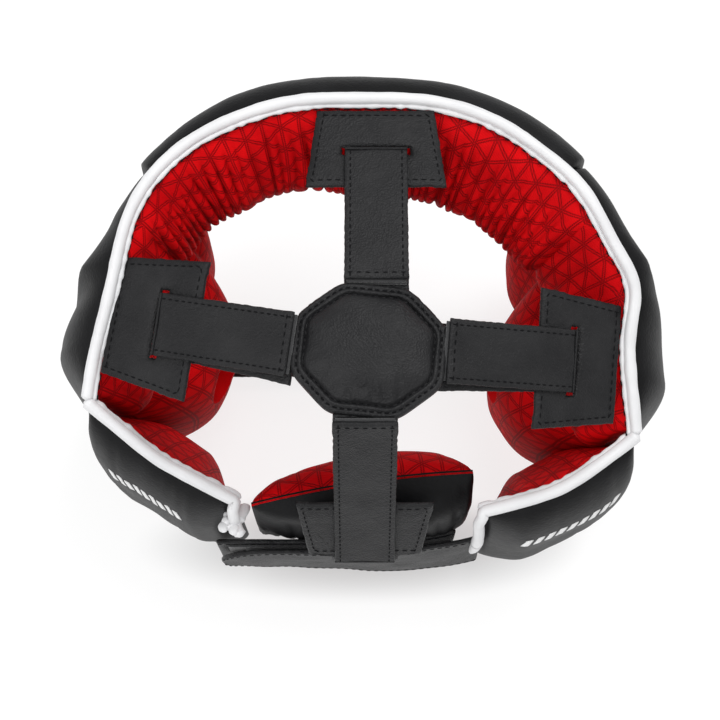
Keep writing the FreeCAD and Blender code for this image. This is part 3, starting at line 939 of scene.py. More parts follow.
@dataclass(frozen=True)
class Stitching:
    """Running stitches laid along a path by geometry nodes."""

    pitch: float = 3.4 * MM
    length: float = 2.5 * MM
    radius: float = 0.33 * MM

    def _tree(self, material: bpy.types.Material) -> bpy.types.NodeTree:
        """Node tree that lays one stitch at each pitch along a curve.

        Args:
            material: thread finish.

        Returns:
            The tree, made once for each thread.
        """
        found = bpy.data.node_groups.get("stitch_run_" + material.name)
        if found:
            return found
        tree = bpy.data.node_groups.new("stitch_run_" + material.name, "GeometryNodeTree")
        tree.interface.new_socket("Path", in_out="INPUT", socket_type="NodeSocketGeometry")
        for label in ("Pitch", "Length", "Radius"):
            tree.interface.new_socket(label, in_out="INPUT", socket_type="NodeSocketFloat")
        tree.interface.new_socket("Stitches", in_out="OUTPUT", socket_type="NodeSocketGeometry")
        add = tree.nodes.new
        given = add("NodeGroupInput")
        out = add("NodeGroupOutput")
        curve = add("GeometryNodeMeshToCurve")
        spaced = add("GeometryNodeResampleCurve")
        spaced.mode = "LENGTH"
        points = add("GeometryNodeCurveToPoints")
        points.mode = "EVALUATED"
        bead = add("GeometryNodeMeshUVSphere")
        bead.inputs["Segments"].default_value = 6
        bead.inputs["Rings"].default_value = 4
        bead.inputs["Radius"].default_value = 1.0
        size = add("ShaderNodeCombineXYZ")
        half = add("ShaderNodeMath")
        half.operation = "MULTIPLY"
        half.inputs[1].default_value = 0.5
        align = add("FunctionNodeAlignRotationToVector")
        align.axis = "X"
        place = add("GeometryNodeInstanceOnPoints")
        solid = add("GeometryNodeRealizeInstances")
        finish = add("GeometryNodeSetMaterial")
        finish.inputs["Material"].default_value = material
        links = (
            (given, "Path", curve, "Mesh"), (curve, "Curve", spaced, "Curve"),
            (given, "Pitch", spaced, "Length"), (spaced, "Curve", points, "Curve"),
            (points, "Points", place, "Points"), (points, "Tangent", align, "Vector"),
            (align, "Rotation", place, "Rotation"), (bead, "Mesh", place, "Instance"),
            (given, "Length", half, 0), (half, 0, size, "X"), (given, "Radius", size, "Y"),
            (given, "Radius", size, "Z"), (size, "Vector", place, "Scale"),
            (place, "Instances", solid, "Geometry"), (solid, "Geometry", finish, "Geometry"),
            (finish, "Geometry", out, "Stitches"),
        )
        for source, output, target, entry in links:
            tree.links.new(source.outputs[output], target.inputs[entry])
        return tree

    def sew(self, name: str, paths: Sequence[Array], material: bpy.types.Material, slot: str,
            body: str) -> None:
        """Lay stitches along paths, as one plain mesh.

        Args:
            name: object name.
            paths: rows of points, one array for each run.
            material: thread finish.
            slot: material slot of the leather under them.
            body: body they move with.
        """
        points: List[Tuple[float, float, float]] = []
        edges: List[Tuple[int, int]] = []
        for path in paths:
            first = len(points)
            points += [tuple(map(float, p)) for p in path]
            edges += [(first + i, first + i + 1) for i in range(len(path) - 1)]
        mesh = bpy.data.meshes.new(name + "_path")
        mesh.from_pydata(points, edges, [])
        carrier = bpy.data.objects.new(name + "_path", mesh)
        bpy.context.scene.collection.objects.link(carrier)
        tree = self._tree(material)
        modifier = carrier.modifiers.new("stitches", "NODES")
        modifier.node_group = tree
        sizes = {"Pitch": self.pitch, "Length": self.length, "Radius": self.radius}
        for item in tree.interface.items_tree:
            if item.in_out == "INPUT" and item.name in sizes:
                modifier[item.identifier] = sizes[item.name]
        graph = bpy.context.evaluated_depsgraph_get()
        solid = bpy.data.meshes.new_from_object(carrier.evaluated_get(graph))
        carrier.modifiers.remove(modifier)
        bpy.data.objects.remove(carrier)
        solid.name = name
        solid.shade_smooth()
        made = bpy.data.objects.new(name, solid)
        bpy.context.scene.collection.objects.link(made)
        dress(made, material, slot, body)


@dataclass(frozen=True)
class Station:
    """Local frame of a crown strap: u towards the crown, w across, n up off the strap."""

    name: str
    origin: Tuple[float, float, float]
    heading: float
    incline: float
    tilt: float
    length: float
    root: float
    reach: float = 16 * MM
    skew: float = 0.0
    drift: float = 0.0
    over: float = 0.0

    def matrix(self) -> Array:
        """Directions of u, w and n in the row frame.

        Returns:
            Rotation matrix with those columns.
        """
        turn = Matrix.Rotation(math.radians(self.heading), 3, "Z")
        turn = turn @ Matrix.Rotation(math.radians(-self.incline), 3, "Y")
        turn = turn @ Matrix.Rotation(math.radians(self.tilt), 3, "X")
        return np.array(turn)

    def place(self, local: Array) -> Array:
        """Row-frame points of local ones."""
        return np.asarray(local) @ self.matrix().T + np.array(self.origin)


@dataclass
class Band:
    """Flat strap with soft edges, laid in a local frame along u."""

    name: str
    start: float
    end: float
    width: float
    level: Callable[[Array], Array]
    thickness: float = 2.0 * MM
    rounding: float = 0.5 * MM
    wave: float = 0.25 * MM
    seed: int = 3
    tip: float = 0.0
    cup: float = 0.0
    step: float = 1.0 * MM
    inset: float = 2.3 * MM
    drift: float = 0.0

    def _lift(self, u: Array, w: Array) -> Array:
        """Height of the underside, wavy and cupped."""
        wave = self.wave * ripple(u / (13 * MM), w / (9 * MM), self.seed + 2)
        return self.level(u) + wave + self.cup * (2.0 * w / self.width) ** 2

    def local(self) -> Tuple[Array, int, int]:
        """Rings of local points.

        Returns:
            The points, the number of rings and the points in each ring.
        """
        u = np.linspace(self.start, self.end, max(8, int((self.end - self.start) / self.step)))
        half = self.width / 2
        edge = np.linspace(0.0, math.pi, 7)
        top_w = np.concatenate([-np.linspace(-1, 1, 25)[1:-1]])
        t, r = self.thickness, self.rounding
        right = np.stack([half - r + r * np.sin(edge), t / 2 - (t / 2) * np.cos(edge)], -1)
        left = np.stack([-half + r - r * np.sin(edge), t / 2 + (t / 2) * np.cos(edge)], -1)
        over = np.stack([top_w * (half - r), np.full(top_w.shape, t)], -1)
        under = np.stack([-top_w * (half - r), np.zeros(top_w.shape)], -1)
        section = np.concatenate([right, over, left, under])
        rings = np.empty((len(u), len(section), 3))
        narrow = np.ones(len(u))
        if self.tip:
            past = np.clip((u - (self.end - self.tip)) / self.tip, 0.0, 0.995)
            narrow = np.sqrt(1.0 - past ** 2.6)
        fray = 1.0 + 0.012 * ripple(u / (1.6 * MM), 0.0, self.seed + 1)
        fray = fray + 0.01 * ripple(u / (9 * MM), 3.0, self.seed)
        ends = np.minimum(u - self.start, self.end - u)
        pinch = 0.55 + 0.45 * np.sqrt(1.0 - (1.0 - np.clip(ends / (0.8 * MM), 0, 1)) ** 2)
        w = section[None, :, 0] * (narrow * fray)[:, None]
        lift = self._lift(u[:, None], w)
        rings[..., 0] = u[:, None]
        rings[..., 1] = w + self.drift * (u / self.end)[:, None]
        rings[..., 2] = lift + (section[None, :, 1] - t / 2) * pinch[:, None] + t / 2
        return rings, len(u), len(section)

    def build(self, place: Place) -> bpy.types.Object:
        """Make the mesh.

        Args:
            place: map from local points to the row frame.

        Returns:
            The strap, not yet dressed.
        """
        rings, count, around = self.local()
        made = new_object(self.name, place(rings.reshape(-1, 3)), tube_faces(count, around),
                          rings.reshape(-1, 3)[:, :2])
        return outwards(made)

    def seam_paths(self, place: Place, across: Sequence[float] = ()) -> List[Array]:
        """Stitch lines just inside both long edges.

        Args:
            place: map from local points to the row frame.
            across: places along u with a line across.

        Returns:
            One row of points for each line.
        """
        u = np.linspace(self.start + 1.5 * MM, self.end - 1.5 * MM, 60)
        half = self.width / 2 - self.inset
        paths = []
        for sign in (-1, 1):
            w = np.full(u.shape, sign * half)
            if self.tip:
                past = np.clip((u - (self.end - self.tip)) / self.tip, 0.0, 0.98)
                w = w * np.sqrt(1.0 - past ** 2.6)
            paths.append(place(np.stack([u, w, self._lift(u, w) + self.thickness], -1)))
        for at in across:
            w = np.linspace(-half, half, 24)
            at_u = np.full(w.shape, at)
            paths.append(place(np.stack([at_u, w, self._lift(at_u, w) + self.thickness], -1)))
        return paths


# ---------------------------------------------------------------- sub-assemblies


@dataclass
class Shell:
    """Forehead, sides and cheek guards with their lining and piping."""

    finishes: Finishes
    seam: SeamLine = field(default_factory=SeamLine)
    forehead_low: float = 110.5 * MM
    cheek_top: float = 109.5 * MM
    cheek_rear_y: float = -9 * MM
    cheek_angle: float = 38.0
    seam_angle: float = 48.0
    temple_bulge: Dict[Side, float] = field(
        default_factory=lambda: {Side.LEFT: 8 * MM, Side.RIGHT: 13.2 * MM})
    side_bulge: float = 22 * MM
    forehead_full: float = 17.5 * MM
    forehead_lining_full: float = 28 * MM
    temple_lining_full: float = 23 * MM
    ear_least: float = 20 * MM
    ear_crown: float = 29 * MM
    ear_top: float = 106 * MM
    jaw_level: float = 34 * MM
    ear_bulge_y: Dict[Side, float] = field(
        default_factory=lambda: {Side.LEFT: -12 * MM, Side.RIGHT: 4 * MM})
    ear_spread: float = 43 * MM
    ear_radius: float = 13 * MM
    ear_y: float = 8 * MM
    ear_z: float = 60 * MM
    piping_lift: float = 4 * MM
    piping_radius: float = 2.5 * MM

    def _top(self, y: Array) -> Array:
        """Panel tops."""
        return self.seam.level(y) + 1.5 * MM

    def forehead(self) -> None:
        """Forehead cover and its pleated lining."""
        plan = self.seam.plan(Side.LEFT)
        reach = self.seam.seam(self.seam_angle)

        def low(y: Array) -> Array:
            """Bottom of the forehead panel."""
            return np.full(np.shape(y), self.forehead_low)

        def cover_depth(q: Array, v: Array) -> Array:
            """Depth of the cover, shallower towards the temples."""
            left = 5.5 * MM * rise(q, 35 * MM, 104 * MM)
            right = 1.5 * MM * rise(-q, 35 * MM, 104 * MM)
            return self.forehead_full - left - right

        cover = Cushion("forehead_cushion_cover", plan, -reach, reach, self._top, low, cover_depth,
                        Face.OUTER, pucker=0.2 * MM, lumps=0.35 * MM, seed=11, rows=44, end_width=2.5 * MM,
                        end_depth=0.8, crown=3.2)
        dress(cover.build(), self.finishes.cover, "outer_leather", "shell",
              ["forehead_cover", "forehead_foam"])

        def depth(q: Array, v: Array) -> Array:
            """Depth of the lining, a little less on the left."""
            scallop = 1.0 + 0.06 * ripple(q / (30 * MM), 0.0, 31)
            lean = 3.4 * MM * np.clip(q / (50 * MM), -1.0, 1.0)
            return (self.forehead_lining_full - lean) * scallop * (0.5 + 0.5 * rise(v, 0.0, 0.6))

        lining_reach = self.seam.seam(62.0)
        lining = Cushion("forehead_cushion_lining", plan, -lining_reach, lining_reach, self._top, low, depth,
                         Face.INNER, pucker=0.7 * MM, pucker_pitch=8.5 * MM, lumps=0.9 * MM, seed=23, rows=64,
                         step=0.7 * MM, end_width=10 * MM, end_depth=0.5, stray=self.seam.kink,
                         pleat=3.4 * MM)
        dress(lining.build(), self.finishes.lining, "lining", "shell", ["forehead_lining"])

    def side(self, side: Side) -> None:
        """Side cover, cheek cover, temple lining and ear cushion of one side.

        Args:
            side: side of the wearer.
        """
        plan = self.seam.plan(side)
        start = self.seam.seam(self.seam_angle) + 0.5 * MM
        end = self.seam.reach(side)
        split = self.seam.at_y(side, self.cheek_rear_y)

        def side_low(y: Array) -> Array:
            """Bottom of the side cover, stepping up over the cheek guard."""
            return (self.cheek_top + 1 * MM) * (1.0 - rise(y, -15 * MM, -3 * MM)) + 0.5 * MM

        def shallow_end(q: Array, v: Array) -> Array:
            """Depth of the side cover, growing over the ear and narrow at the corner."""
            narrow = 1.0 - 0.76 * rise(q, end - 24 * MM, end)
            temple = self.temple_bulge[side]
            grown = rise(q, start + 22 * MM, start + 66 * MM)
            return (temple + (self.side_bulge - temple) * grown) * narrow

        name = side.value
        cover = Cushion(f"{name}_side_cushion_cover", plan, start, end - 1 * MM, self._top, side_low,
                        shallow_end, Face.OUTER, pucker=0.3 * MM, lumps=0.45 * MM, seed=41 + side.sign,
                        rows=72, end_width=2.5 * MM, end_depth=0.8, crown=3.2, step=1.6 * MM,
                        stray=self.seam.kink).build()
        self.bore(cover, side)
        dress(cover, self.finishes.cover, "outer_leather", "shell",
              [f"{name}_side_cover", f"{name}_side_foam"])

        def cheek_depth(q: Array, v: Array) -> Array:
            """Depth of the cheek cover."""
            return 10 * MM + 4 * MM * rise(q, start, split)

        def cheek_low(y: Array) -> Array:
            """Bottom of the cheek guard, rising towards the jaw."""
            return self.jaw_level * (1.0 - rise(y, -66 * MM, -38 * MM))

        cheek = Cushion(f"{name}_cheek_cushion_cover", plan, self.seam.seam(self.cheek_angle), split,
                        lambda y: np.full(np.shape(y), self.cheek_top), cheek_low,
                        cheek_depth, Face.OUTER, pucker=0.3 * MM, lumps=0.4 * MM,
                        seed=51 + side.sign, rows=56, end_width=10 * MM, end_depth=0.35, crown=3.0).build()
        dress(cheek, self.finishes.cover, "outer_leather", "shell",
              [f"{name}_cheek_cover", f"{name}_cheek_foam"])

        def temple_depth(q: Array, v: Array) -> Array:
            """Depth of the temple lining."""
            uneven = 1.0 + 0.05 * ripple(q / (22 * MM), 0.0, 61)
            return self.temple_lining_full * (0.5 + 0.5 * rise(v, 0.0, 0.55)) * uneven

        temple = Cushion(f"{name}_temple_cushion_lining", plan, self.seam.seam(56.0), end - 3 * MM, self._top,
                         lambda y: np.full(np.shape(y), 88 * MM), temple_depth, Face.INNER, pucker=0.8 * MM,
                         pucker_pitch=9 * MM, lumps=1.0 * MM, seed=71 + side.sign, rows=54, end_width=12 * MM,
                         end_depth=0.45, step=0.9 * MM, stray=self.seam.kink, pleat=1.6 * MM,
                         pleat_pitch=7 * MM).build()
        dress(temple, self.finishes.lining, "lining", "shell", [f"{name}_side_lining"])

        front = self.seam.seam(40.0)
        middle = self.seam.at_y(side, self.ear_bulge_y[side])

        def ear_depth(q: Array, v: Array) -> Array:
            """Depth of the round ear cushion."""
            round_plan = np.sqrt(np.clip(1.0 - np.abs((q - middle) / self.ear_spread) ** 2.3, 0.0, 1.0))
            return self.ear_least + self.ear_crown * round_plan * (0.75 + 0.25 * rise(v, 0.0, 0.5))

        ear = Cushion(f"{name}_ear_cushion_lining", plan, front, end - 4 * MM,
                      lambda y: np.full(np.shape(y), self.ear_top), lambda y: cheek_low(y) + 0.6 * MM,
                      ear_depth, Face.INNER, pucker=0.8 * MM, pucker_pitch=12 * MM, lumps=1.3 * MM,
                      seed=81 + side.sign, rows=60, end_width=22 * MM, end_depth=0.25, step=1.4 * MM,
                      crown=2.8).build()
        self.bore(ear, side)
        dress(ear, self.finishes.lining, "lining", "shell",
              [f"{name}_ear_pad_lining", f"{name}_cheek_lining", f"{name}_ear_pad_foam"])

    def bore(self, piece: bpy.types.Object, side: Side) -> None:
        """Cut the ear opening through a cushion.

        Args:
            piece: cushion to cut.
            side: side of the wearer.
        """
        angle = np.linspace(0.0, 2.0 * math.pi, 40, endpoint=False)
        rings = []
        for x in (20 * MM, 150 * MM):
            rings.append(np.stack([np.full(40, side.sign * x), self.ear_y + self.ear_radius * np.cos(angle),
                                   self.ear_z + self.ear_radius * np.sin(angle)], -1))
        cutter = outwards(new_object("ear_cutter", np.concatenate(rings), tube_faces(2, 40)))
        modifier = piece.modifiers.new("ear", "BOOLEAN")
        modifier.operation = "DIFFERENCE"
        modifier.solver = "EXACT"
        modifier.object = cutter
        graph = bpy.context.evaluated_depsgraph_get()
        cut = bpy.data.meshes.new_from_object(piece.evaluated_get(graph))
        piece.modifiers.remove(modifier)
        bpy.data.objects.remove(cutter)
        cut.name = piece.data.name
        piece.data = cut
        cut.shade_smooth()

    def piping(self) -> None:
        """White piping with its welt, and black stitches beside it."""
        ends = {side: self.seam.reach(side) - 1 * MM for side in Side}
        q = np.arange(-ends[Side.RIGHT], ends[Side.LEFT], 0.8 * MM)
        left, normal_left = self.seam.plan(Side.LEFT)(np.maximum(q, 0.0))
        right, normal_right = self.seam.plan(Side.RIGHT)(np.maximum(-q, 0.0))
        plan = np.where((q >= 0)[:, None], left, right)
        normal = np.where((q >= 0)[:, None], normal_left, normal_right)
        wander = 0.5 * MM * ripple(q / (26 * MM), 0.0, 91) + self.seam.kink(plan)
        centre = np.empty((len(q), 3))
        centre[:, :2] = plan + (wander + 0.6 * MM)[:, None] * normal
        level = self.seam.level(plan[:, 1])
        centre[:, 2] = level + self.piping_lift + 0.4 * MM * ripple(q / (19 * MM), 2.0, 92)
        uneven = 0.05 * ripple(q / (7 * MM), 0.0, 93) + 0.03 * ripple(q / (2.6 * MM), 0.0, 94)
        radii = self.piping_radius * (1.0 + uneven)
        bead = tube("top_piping_bead", centre, radii, 20)
        welt_centre = centre.copy()
        welt_centre[:, :2] -= 2.5 * MM * normal
        welt_centre[:, 2] -= 1.3 * MM
        gathers = 1.0 + 0.3 * ripple(q / (2.4 * MM), 0.0, 95)
        welt = tube("top_piping_welt", welt_centre, 1.35 * MM * gathers, 14, 0.8)
        whole = join("top_piping_cord", [bead, welt])
        dress(whole, self.finishes.piping, "piping", "shell", ["top_piping"])
        thread = welt_centre.copy()
        thread[:, :2] -= 1.6 * MM * normal
        thread[:, 2] -= 0.3 * MM
        Stitching(4.2 * MM, 2.9 * MM, 0.35 * MM).sew(
            "top_piping_stitches", [thread[::3]], self.finishes.thread, "outer_leather", "shell")

    def build(self) -> None:
        """Build the whole shell."""
        self.forehead()
        for side in Side:
            self.side(side)
        self.piping()


@dataclass
class Wing:
    """Wing behind an ear: cover, lining, piping and a plain stripe mark."""

    finishes: Finishes
    line: WingLine
    body: str
    bottom: float = 8.5 * MM
    bead_radius: float = 2.6 * MM
    cover_full: float = 17 * MM
    cover_hollow: float = 2.5 * MM
    lining_full: float = 20 * MM
    bars: int = 9
    tail_drop: Dict[Side, float] = field(default_factory=lambda: {Side.LEFT: 12 * MM, Side.RIGHT: 66 * MM})
    mark_reach: Dict[Side, Tuple[float, float]] = field(
        default_factory=lambda: {Side.LEFT: (15 * MM, 50 * MM), Side.RIGHT: (10 * MM, 56 * MM)})

    def build(self) -> None:
        """Build the wing."""
        side = self.line.side
        name = side.value
        length = self.line.length

        def top(y: Array) -> Array:
            """Top of the wing."""
            return self.line.level(y) + 1.5 * MM

        def low(y: Array) -> Array:
            """Bottom of the wing."""
            return np.full(np.shape(y), self.bottom)

        def cover_depth(q: Array, v: Array) -> Array:
            """Depth of the cover, narrow at the free end."""
            begun = 0.84 + 0.16 * rise(q, 0.0, 20 * MM)
            full = self.cover_full * begun * (1.0 - 0.4 * rise(q, length - 16 * MM, length))
            return full - self.cover_hollow * np.sin(math.pi * np.clip(q / length, 0.0, 1.0))

        stuffed = Cushion(f"{name}_wing_cushion_cover", self.line.plan, 1.5 * MM, length, top, low,
                          cover_depth, Face.OUTER, pucker=0.6 * MM, lumps=0.7 * MM, seed=101 + side.sign,
                          rows=60, end_width=7 * MM, end_depth=0.5, crown=2.8)
        cover = stuffed.build()
        dress(cover, self.finishes.cover, "outer_leather", self.body,
              [f"{name}_wing_cover", f"{name}_wing_foam"])
        self._mark(stuffed)

        def lining_depth(q: Array, v: Array) -> Array:
            """Depth of the lining, which thins out before the free end."""
            thin = 1.0 - 0.93 * rise(q, 42 * MM, 68 * MM)
            begun = 0.65 + 0.35 * rise(q, 4 * MM, 26 * MM)
            return self.lining_full * (0.6 + 0.4 * rise(v, 0.0, 0.5)) * begun * thin

        lining = Cushion(f"{name}_wing_cushion_lining", self.line.plan, 6 * MM, length - 1 * MM, top, low,
                         lining_depth, Face.INNER, pucker=0.8 * MM, pucker_pitch=10 * MM, lumps=0.9 * MM,
                         seed=111 + side.sign, rows=60, end_width=16 * MM, end_depth=0.3).build()
        dress(lining, self.finishes.lining, "lining", self.body, [f"{name}_wing_lining"])

        q = np.arange(0.4 * MM, length + 1 * MM, 0.8 * MM)
        plan, normal = self.line.plan(q)
        centre = np.empty((len(q), 3))
        centre[:, :2] = plan + (0.6 * MM + 0.4 * MM * ripple(q / (18 * MM), 0.0, 121))[:, None] * normal
        centre[:, 2] = self.line.level(plan[:, 1]) + 4.0 * MM
        welt_centre = centre.copy()
        welt_centre[:, :2] -= 2.6 * MM * normal
        welt_centre[:, 2] -= 1.4 * MM
        gathers = 1.0 + 0.3 * ripple(q / (2.6 * MM), 0.0, 123)
        welt = tube(f"{name}_wing_welt", welt_centre, 1.5 * MM * gathers, 14, 0.8)
        centre = np.concatenate([centre, self._tail(centre[-1], normal[-1])])
        run = np.arange(len(centre)) * 0.8 * MM
        radii = self.bead_radius * (1.0 + 0.06 * ripple(run / (6 * MM), 0.0, 122))
        bead = tube(f"{name}_wing_bead", centre, radii, 20)
        parts = [bead, welt]
        if side is Side.LEFT:
            parts.append(self._tuck(centre[-1]))
        whole = join(f"{name}_wing_piping_cord", parts)
        dress(whole, self.finishes.piping, "piping", self.body, [f"{name}_wing_piping"])

    def _tail(self, start: Array, normal: Array) -> Array:
        """Path of the piping where it turns down over the free end.

        Args:
            start: last point of the piping along the wing.
            normal: outward direction in plan.

        Returns:
            Points of the path.
        """
        ahead = np.array([-self.line.side.sign * normal[1], self.line.side.sign * normal[0]])
        deep = self.tail_drop[self.line.side]
        t = np.linspace(0.0, 1.0, max(6, int(deep / (1.2 * MM))))[1:]
        drop = start[2] - deep * t
        over = 3.5 * MM * np.sin(np.minimum(t * deep / (6 * MM), 1.0) * 0.5 * math.pi)
        along = np.sign(ahead @ np.array([-self.line.side.sign, 0.0])) * over
        out = 6.5 * MM * swell(t * 0.85, 2.0)
        x = start[0] + ahead[0] * along + normal[0] * out
        y = start[1] + ahead[1] * along + normal[1] * out
        return np.stack([x, y, drop], -1)

    def _tuck(self, start: Array) -> bpy.types.Object:
        """Bunched fold where the piping ends at the closure.

        Args:
            start: end of the piping.

        Returns:
            The joined folds.
        """
        folds = []
        for number in range(5):
            t = np.linspace(0.0, 1.0, 26)
            lean = (number - 2.0) * 1.5 * MM
            x = start[0] + 1.5 * MM + lean + 1.1 * MM * np.sin(5.0 * t + number * 1.7)
            y = start[1] + 1.0 * MM - 11.0 * MM * (t - 0.5) + 0.9 * MM * np.cos(4.0 * t + number)
            z = start[2] + 7.0 * MM + 1.4 * MM * np.sin(3.0 * t + number * 2.1) - 7.0 * MM * t
            radius = 2.1 * MM * (1.0 + 0.35 * ripple(t * 8.0, 1.0 * number, 125))
            folds.append(tube(f"tuck_{number}", np.stack([x, y, z], -1), radius, 14, 0.75))
        return join("left_wing_tuck", folds)

    def _mark(self, stuffed: Cushion) -> None:
        """Plain slanted bars in white ink across the outer face.

        Args:
            stuffed: wing cover that carries them.
        """
        name = self.line.side.value
        first, last = self.mark_reach[self.line.side]
        pitch = (last - first) / self.bars
        pieces = []
        for number in range(self.bars):
            at = first + number * pitch
            pieces.append(stuffed.patch(f"bar_{number}", at, at + 0.58 * pitch, 0.23, 0.31, 2.0 * MM))
        whole = join(f"{name}_wing_mark", pieces)
        dress(whole, self.finishes.ink, "outer_leather", self.body)


@dataclass
class CrownStraps:
    """Four slotted tabs, and the straps that fold through them back onto themselves."""

    finishes: Finishes
    stations: Sequence[Station] = (
        Station("front", (-6.5 * MM, -57 * MM, 168.6 * MM), 90, 11.5, 0, 60 * MM, -20 * MM),
        Station("left", (78.6 * MM, 11 * MM, 158 * MM), 165, 23, 15, 57 * MM, -24 * MM, 17 * MM, -2.5,
                -3.2 * MM, 4.5 * MM),
        Station("right", (-83.2 * MM, 24.7 * MM, 153.5 * MM), 3, 28, -15, 56 * MM, -23 * MM, drift=3.2 * MM,
                over=3.5 * MM),
        Station("rear", (-2 * MM, 92 * MM, 90 * MM), -90, 67, 0, 97 * MM, 3 * MM, 41 * MM,
                over=6 * MM),
    )
    width: float = 25.4 * MM
    thickness: float = 2 * MM
    flap_level: float = 4.8 * MM
    tab_level: float = 2.3 * MM
    tab_thickness: float = 2.2 * MM
    slot_half: float = 14 * MM
    slot_ends: Tuple[float, float] = (-2.8 * MM, 1.2 * MM)

    def tab(self, spot: Station) -> None:
        """Slotted leather tab with its stitches.

        Args:
            spot: station of the strap.
        """
        around = 120
        rings = 9
        middle = np.array([-0.8 * MM, 0.0])
        root, inner = spot.root, spot.reach
        corners = np.array([[root, -24 * MM], [inner, -28.5 * MM], [inner, 28.5 * MM], [root, 24 * MM]])
        near, far = self.slot_ends
        half = self.slot_half
        slot = np.array([[near, -half], [far, -half], [far, half], [near, half]])
        skew = np.array(Matrix.Rotation(math.radians(spot.skew), 2)).T
        outer_ring = self._spread(corners, around)
        slot_ring = self._spread(slot, around)
        start = int(np.argmin(np.linalg.norm(slot_ring - outer_ring[0] * 0.5 - middle * 0.5, axis=1)))
        slot_ring = np.roll(slot_ring, -start, axis=0)
        steps = np.arange(around) * 0.9
        jitter = np.stack([ripple(steps, 0.0, 131), ripple(steps, 5.0, 132)], -1)
        share = np.linspace(0.0, 1.0, rings)
        flat = outer_ring[None] * (1 - share[:, None, None]) + slot_ring[None] * share[:, None, None]
        flat[0] += 0.25 * MM * jitter
        flat[-1] += 0.3 * MM * np.roll(jitter, 17, axis=0)
        flat[1] = flat[0] + 0.12 * (flat[2] - flat[0])
        flat = flat @ skew
        low = np.concatenate([flat, self._tab_low(flat)[..., None]], -1)
        high = low.copy()
        high[..., 2] += self.tab_thickness
        rim = np.array([0.25, 0.0] + [0.0] * (rings - 3) + [0.25])[:, None] * self.tab_thickness
        low[..., 2] += rim
        high[..., 2] -= rim
        loop = np.concatenate([high, low[::-1]], axis=0)
        faces = tube_faces(len(loop), around, closed=True)
        local = loop.reshape(-1, 3)
        made = outwards(new_object(f"{spot.name}_tab_leather", spot.place(local), faces, local[:, :2]))
        dress(made, self.finishes.strap, "strap_leather", "shell", [f"{spot.name}_tab"])
        inset = 2.6 * MM
        pulled = corners + np.array([[inset, inset], [-inset, inset], [-inset, -inset], [inset, -inset]])
        ring = self._spread(pulled, 160) @ skew
        top = self._tab_low(ring) + self.tab_thickness
        path = spot.place(np.concatenate([ring, top[:, None]], -1))
        Stitching().sew(f"{spot.name}_tab_stitches", [path], self.finishes.thread, "strap_leather", "shell")

    def _tab_low(self, flat: Array) -> Array:
        """Underside of a tab at flat points: wavy, with drooping sides."""
        wave = 0.4 * MM * ripple(flat[..., 0] / (15 * MM), flat[..., 1] / (15 * MM), 133)
        return self.tab_level + wave - 0.5 * MM * np.clip((np.abs(flat[..., 1]) - 20 * MM) / (8 * MM), 0, 1)

    @staticmethod
    def _spread(corners: Array, count: int) -> Array:
        """Even points round a closed outline, with its corners kept.

        Args:
            corners: outline, one row for each corner.
            count: number of points.

        Returns:
            The points in order.
        """
        closed = np.concatenate([corners, corners[:1]])
        sides = np.linalg.norm(np.diff(closed, axis=0), axis=1)
        shares = np.maximum(1, np.round(sides / sides.sum() * count)).astype(int)
        shares[np.argmax(shares)] += count - shares.sum()
        runs = [np.linspace(closed[i], closed[i + 1], n, endpoint=False) for i, n in enumerate(shares)]
        return np.concatenate(runs)

    def strap(self, spot: Station) -> None:
        """Lower layer with its fold, the flap that lies on it, and the hook tape.

        Args:
            spot: station of the strap.
        """
        reach = spot.length + 4 * MM
        lower = Band(f"{spot.name}_strap_leather", 0.0, reach, self.width, even(0.0), wave=0.2 * MM,
                     seed=141, drift=spot.drift).build(spot.place)
        around = np.linspace(-0.5 * math.pi, 0.5 * math.pi, 14)
        height = self.flap_level + self.thickness
        rings = []
        half = self.width / 2
        for radius in (height / 2, height / 2 - self.thickness):
            arc_u = -np.cos(around) * radius * 0.55
            arc_n = height / 2 + np.sin(around) * radius
            rings.append(np.stack([arc_u, arc_n], -1))
        section = np.concatenate([rings[0], rings[1][::-1]])
        w = np.linspace(-half, half, 22)
        points = np.empty((len(w), len(section), 3))
        points[..., 0] = section[None, :, 0]
        points[..., 1] = w[:, None]
        points[..., 2] = section[None, :, 1]
        local = points.reshape(-1, 3)
        fold = outwards(new_object("fold", spot.place(local), tube_faces(len(w), len(section)), local[:, :2]))
        whole = join(f"{spot.name}_strap_leather", [lower, fold])
        dress(whole, self.finishes.strap, "strap_leather", "shell", [f"{spot.name}_strap"])

        def flap_level(u: Array) -> Array:
            """Level of the flap, lower past the tab."""
            return self.flap_level - 0.5 * MM * rise(u, spot.reach + 2 * MM, spot.reach + 14 * MM)

        end = spot.length - 1.2 * MM + spot.over
        flap_body = f"{spot.name}_crown_flap"
        flap = Band(f"{spot.name}_flap_leather", 0.15 * MM, end, self.width, flap_level, wave=0.3 * MM,
                    seed=151 + len(spot.name))
        made = flap.build(spot.place)
        dress(made, self.finishes.strap, "strap_leather", flap_body, [f"{spot.name}_flap"])
        across = (end - 2.4 * MM,)
        Stitching(3.0 * MM, 2.2 * MM, 0.33 * MM).sew(
            f"{spot.name}_flap_stitches", flap.seam_paths(spot.place, across), self.finishes.thread,
            "strap_leather", flap_body)
        hook = Band(f"{spot.name}_hook_tape", spot.reach + 2.5 * MM, end + 0.8 * MM, self.width - 2 * MM,
                    even(3.45 * MM), 1.0 * MM, 0.3 * MM, 0.1 * MM, 161).build(spot.place)
        dress(hook, self.finishes.nap, "hook_and_loop", flap_body, [f"{spot.name}_hook"])

